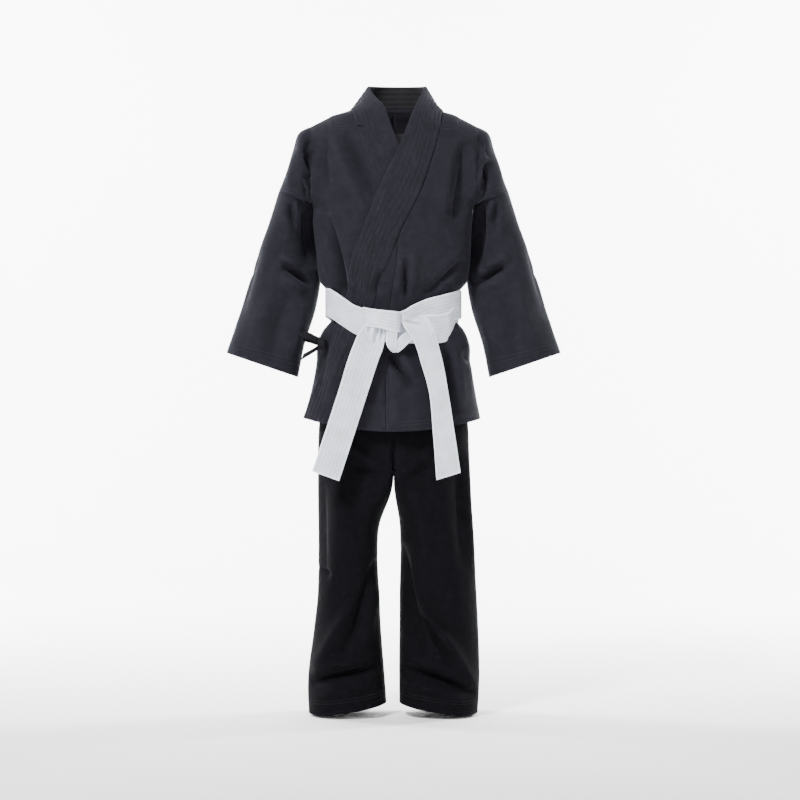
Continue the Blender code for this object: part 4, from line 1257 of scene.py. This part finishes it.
def belt():
    for name, route, lift in (("inner", INNER_TURN, 0.0078), ("outer", OUTER_TURN, 0.0116)):
        turn, sewn = belt_strip(f"belt_turn_{name}", wrap_stations(route, lift), WHITE, "belt_cloth",
                                BELT_WALL, BELT_ROWS, closed=True)
        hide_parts(f"belt_wrap_{name}")
        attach(turn, "jacket")
        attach(sewn, "jacket")

    for name, edges, wall, rows, replaced in (
            ("knot_band_cloth", KNOT_BAND, 0.0046, 6, ["knot_band"]),
            ("knot_lobe_front", KNOT_FRONT_LOBE, 0.0042, 4, ["knot_loop"]),
            ("knot_lobe_back", KNOT_BACK_LOBE, 0.004, 4, [])):
        piece, sewn = belt_strip(name, strip_stations(edges), WHITE, "belt_cloth", wall, rows, count=48)
        if replaced:
            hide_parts(*replaced)
        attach(piece, "jacket")
        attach(sewn, "jacket")

    for label, edges, extra in (("left", TAIL_LEFT, ["knot_fold"]), ("right", TAIL_RIGHT, [])):
        piece, sewn = belt_strip(f"belt_end_{label}", strip_stations(edges), WHITE, "belt_cloth", BELT_WALL,
                                 BELT_ROWS, count=130)
        displace(piece, fold_field(TAIL_GATHERS))
        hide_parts(f"belt_tail_{label}", *extra)
        for made in (piece, sewn):
            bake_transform(made)


def bow():
    """The tape bow that shuts the outer front at the wearer's right."""
    for name, edges, replaced in (("tape_loop", BOW_LOOP, ["tie_bow_loop"]),
                                  ("tape_end", BOW_END, ["tie_bow_end"]),
                                  ("tape_knot", BOW_KNOT, [])):
        piece, _ = ribbon(name, strip_stations(edges), TAPE, "tape", 0.0018, 2, count=70, puff=0.0001)
        if replaced:
            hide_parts(*replaced)
        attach(piece, "jacket")


# ---------------------------------------------------------------- camera, light and floor

def stage_and_camera():
    ground = min(CAD_BOX[0].z, -0.8505) - 0.004
    width, reach, wall, bend = 9.0, 3.2, 4.0, 1.2
    profile = [(-6.0, ground), (reach - bend, ground)]
    profile += [(reach - bend + bend * math.sin(a), ground + bend - bend * math.cos(a))
                for a in np.linspace(0, math.pi / 2, 14)[1:]]
    profile.append((reach, ground + wall))
    points = [(x, y, z) for y, z in profile for x in (-width, width)]
    faces = [(2 * i, 2 * i + 1, 2 * i + 3, 2 * i + 2) for i in range(len(profile) - 1)]
    floor = make_mesh("floor", points, faces)
    material = bpy.data.materials.new("pale_floor")
    material.use_nodes = True
    material.node_tree.nodes["Principled BSDF"].inputs["Base Color"].default_value = (0.9, 0.9, 0.9, 1.0)
    material.node_tree.nodes["Principled BSDF"].inputs["Roughness"].default_value = 0.9
    floor.data.materials.append(material)

    world = bpy.data.worlds.new("studio")
    world.use_nodes = True
    world.node_tree.nodes["Background"].inputs["Color"].default_value = (1.0, 1.0, 1.0, 1.0)
    world.node_tree.nodes["Background"].inputs["Strength"].default_value = 0.24
    bpy.context.scene.world = world

    def area(name, place, target, size, power_):
        light = bpy.data.lights.new(name, "AREA")
        light.shape = "RECTANGLE"
        light.size, light.size_y = size
        light.energy = power_
        lamp = bpy.data.objects.new(name, light)
        lamp.location = place
        lamp.rotation_euler = (Vector(target) - Vector(place)).to_track_quat("-Z", "Y").to_euler()
        bpy.context.scene.collection.objects.link(lamp)

    middle = (0.0, 0.0, -0.4)
    area("key", (-1.3, -2.0, 1.9), middle, (0.45, 0.45), 190.0)
    area("fill", (2.2, -1.7, 0.5), middle, (1.2, 1.2), 22.0)
    area("front", (0.1, -2.9, 0.1), middle, (1.2, 1.2), 20.0)
    area("rim_left", (1.9, 1.6, 1.0), middle, (0.8, 1.4), 12.0)
    area("rim_right", (-1.9, 1.6, 1.0), middle, (0.8, 1.4), 12.0)
    area("backdrop_left", (2.0, 0.9, 0.9), (0.8, 3.2, 0.2), (1.4, 1.4), 520.0)
    area("backdrop_right", (-2.0, 0.9, 0.9), (-0.8, 3.2, 0.2), (1.4, 1.4), 520.0)

    camera_data = bpy.data.cameras.new("camera")
    camera_data.lens = 85.0
    camera = bpy.data.objects.new("camera", camera_data)
    camera.location = (0.0091, -2.674, -0.4102)
    camera.rotation_euler = (math.radians(90), 0, 0)
    bpy.context.scene.collection.objects.link(camera)
    bpy.context.scene.camera = camera


# ---------------------------------------------------------------- assembly

stage_and_camera()
for side in (1, -1):
    body = body_half(side)
    for piece in (body, body_stitching(body, side)):
        blend_shoulder(piece)
    for piece in sleeve(side):
        blend_shoulder(piece)
overlap_panel("overlap_cloth_left", OUTER_LAPEL_SEAM, OUTER_OVERLAP_SEAM, -0.176, LAYER,
              ["overlap_panel_left"])
overlap_panel("overlap_cloth_right", ((-0.176, 0.0006), (-0.454, 0.009)), INNER_LAPEL_SEAM, -0.178, 0.0,
              ["overlap_panel_right"])
lapel("lapel_cloth_left", OUTER_LAPEL_TOP, OUTER_FREE_EDGE, OUTER_LAPEL_SEAM, LAYER, 1, ["lapel_left"], BAND)
lapel("lapel_cloth_right", INNER_LAPEL_TOP, INNER_FREE_EDGE, INNER_LAPEL_SEAM, 0.0, -1,
      ["lapel_right"], 0.0018)
neck_band()
trouser_half(1, LEG_LEFT)
trouser_half(-1, LEG_RIGHT)
belt()
bow()
for label, material in (("neck_label", LABEL), ("inner_tie", TAPE), ("waistband", BLACK_TROUSER),
                        ("waist_elastic", RUBBER), ("crotch_gusset", BLACK_TROUSER)):
    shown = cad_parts[label]
    shown.data.materials.clear()
    shown.data.materials.append(material)
    shown.modifiers.new("closed", "WELD").merge_threshold = 0.00002
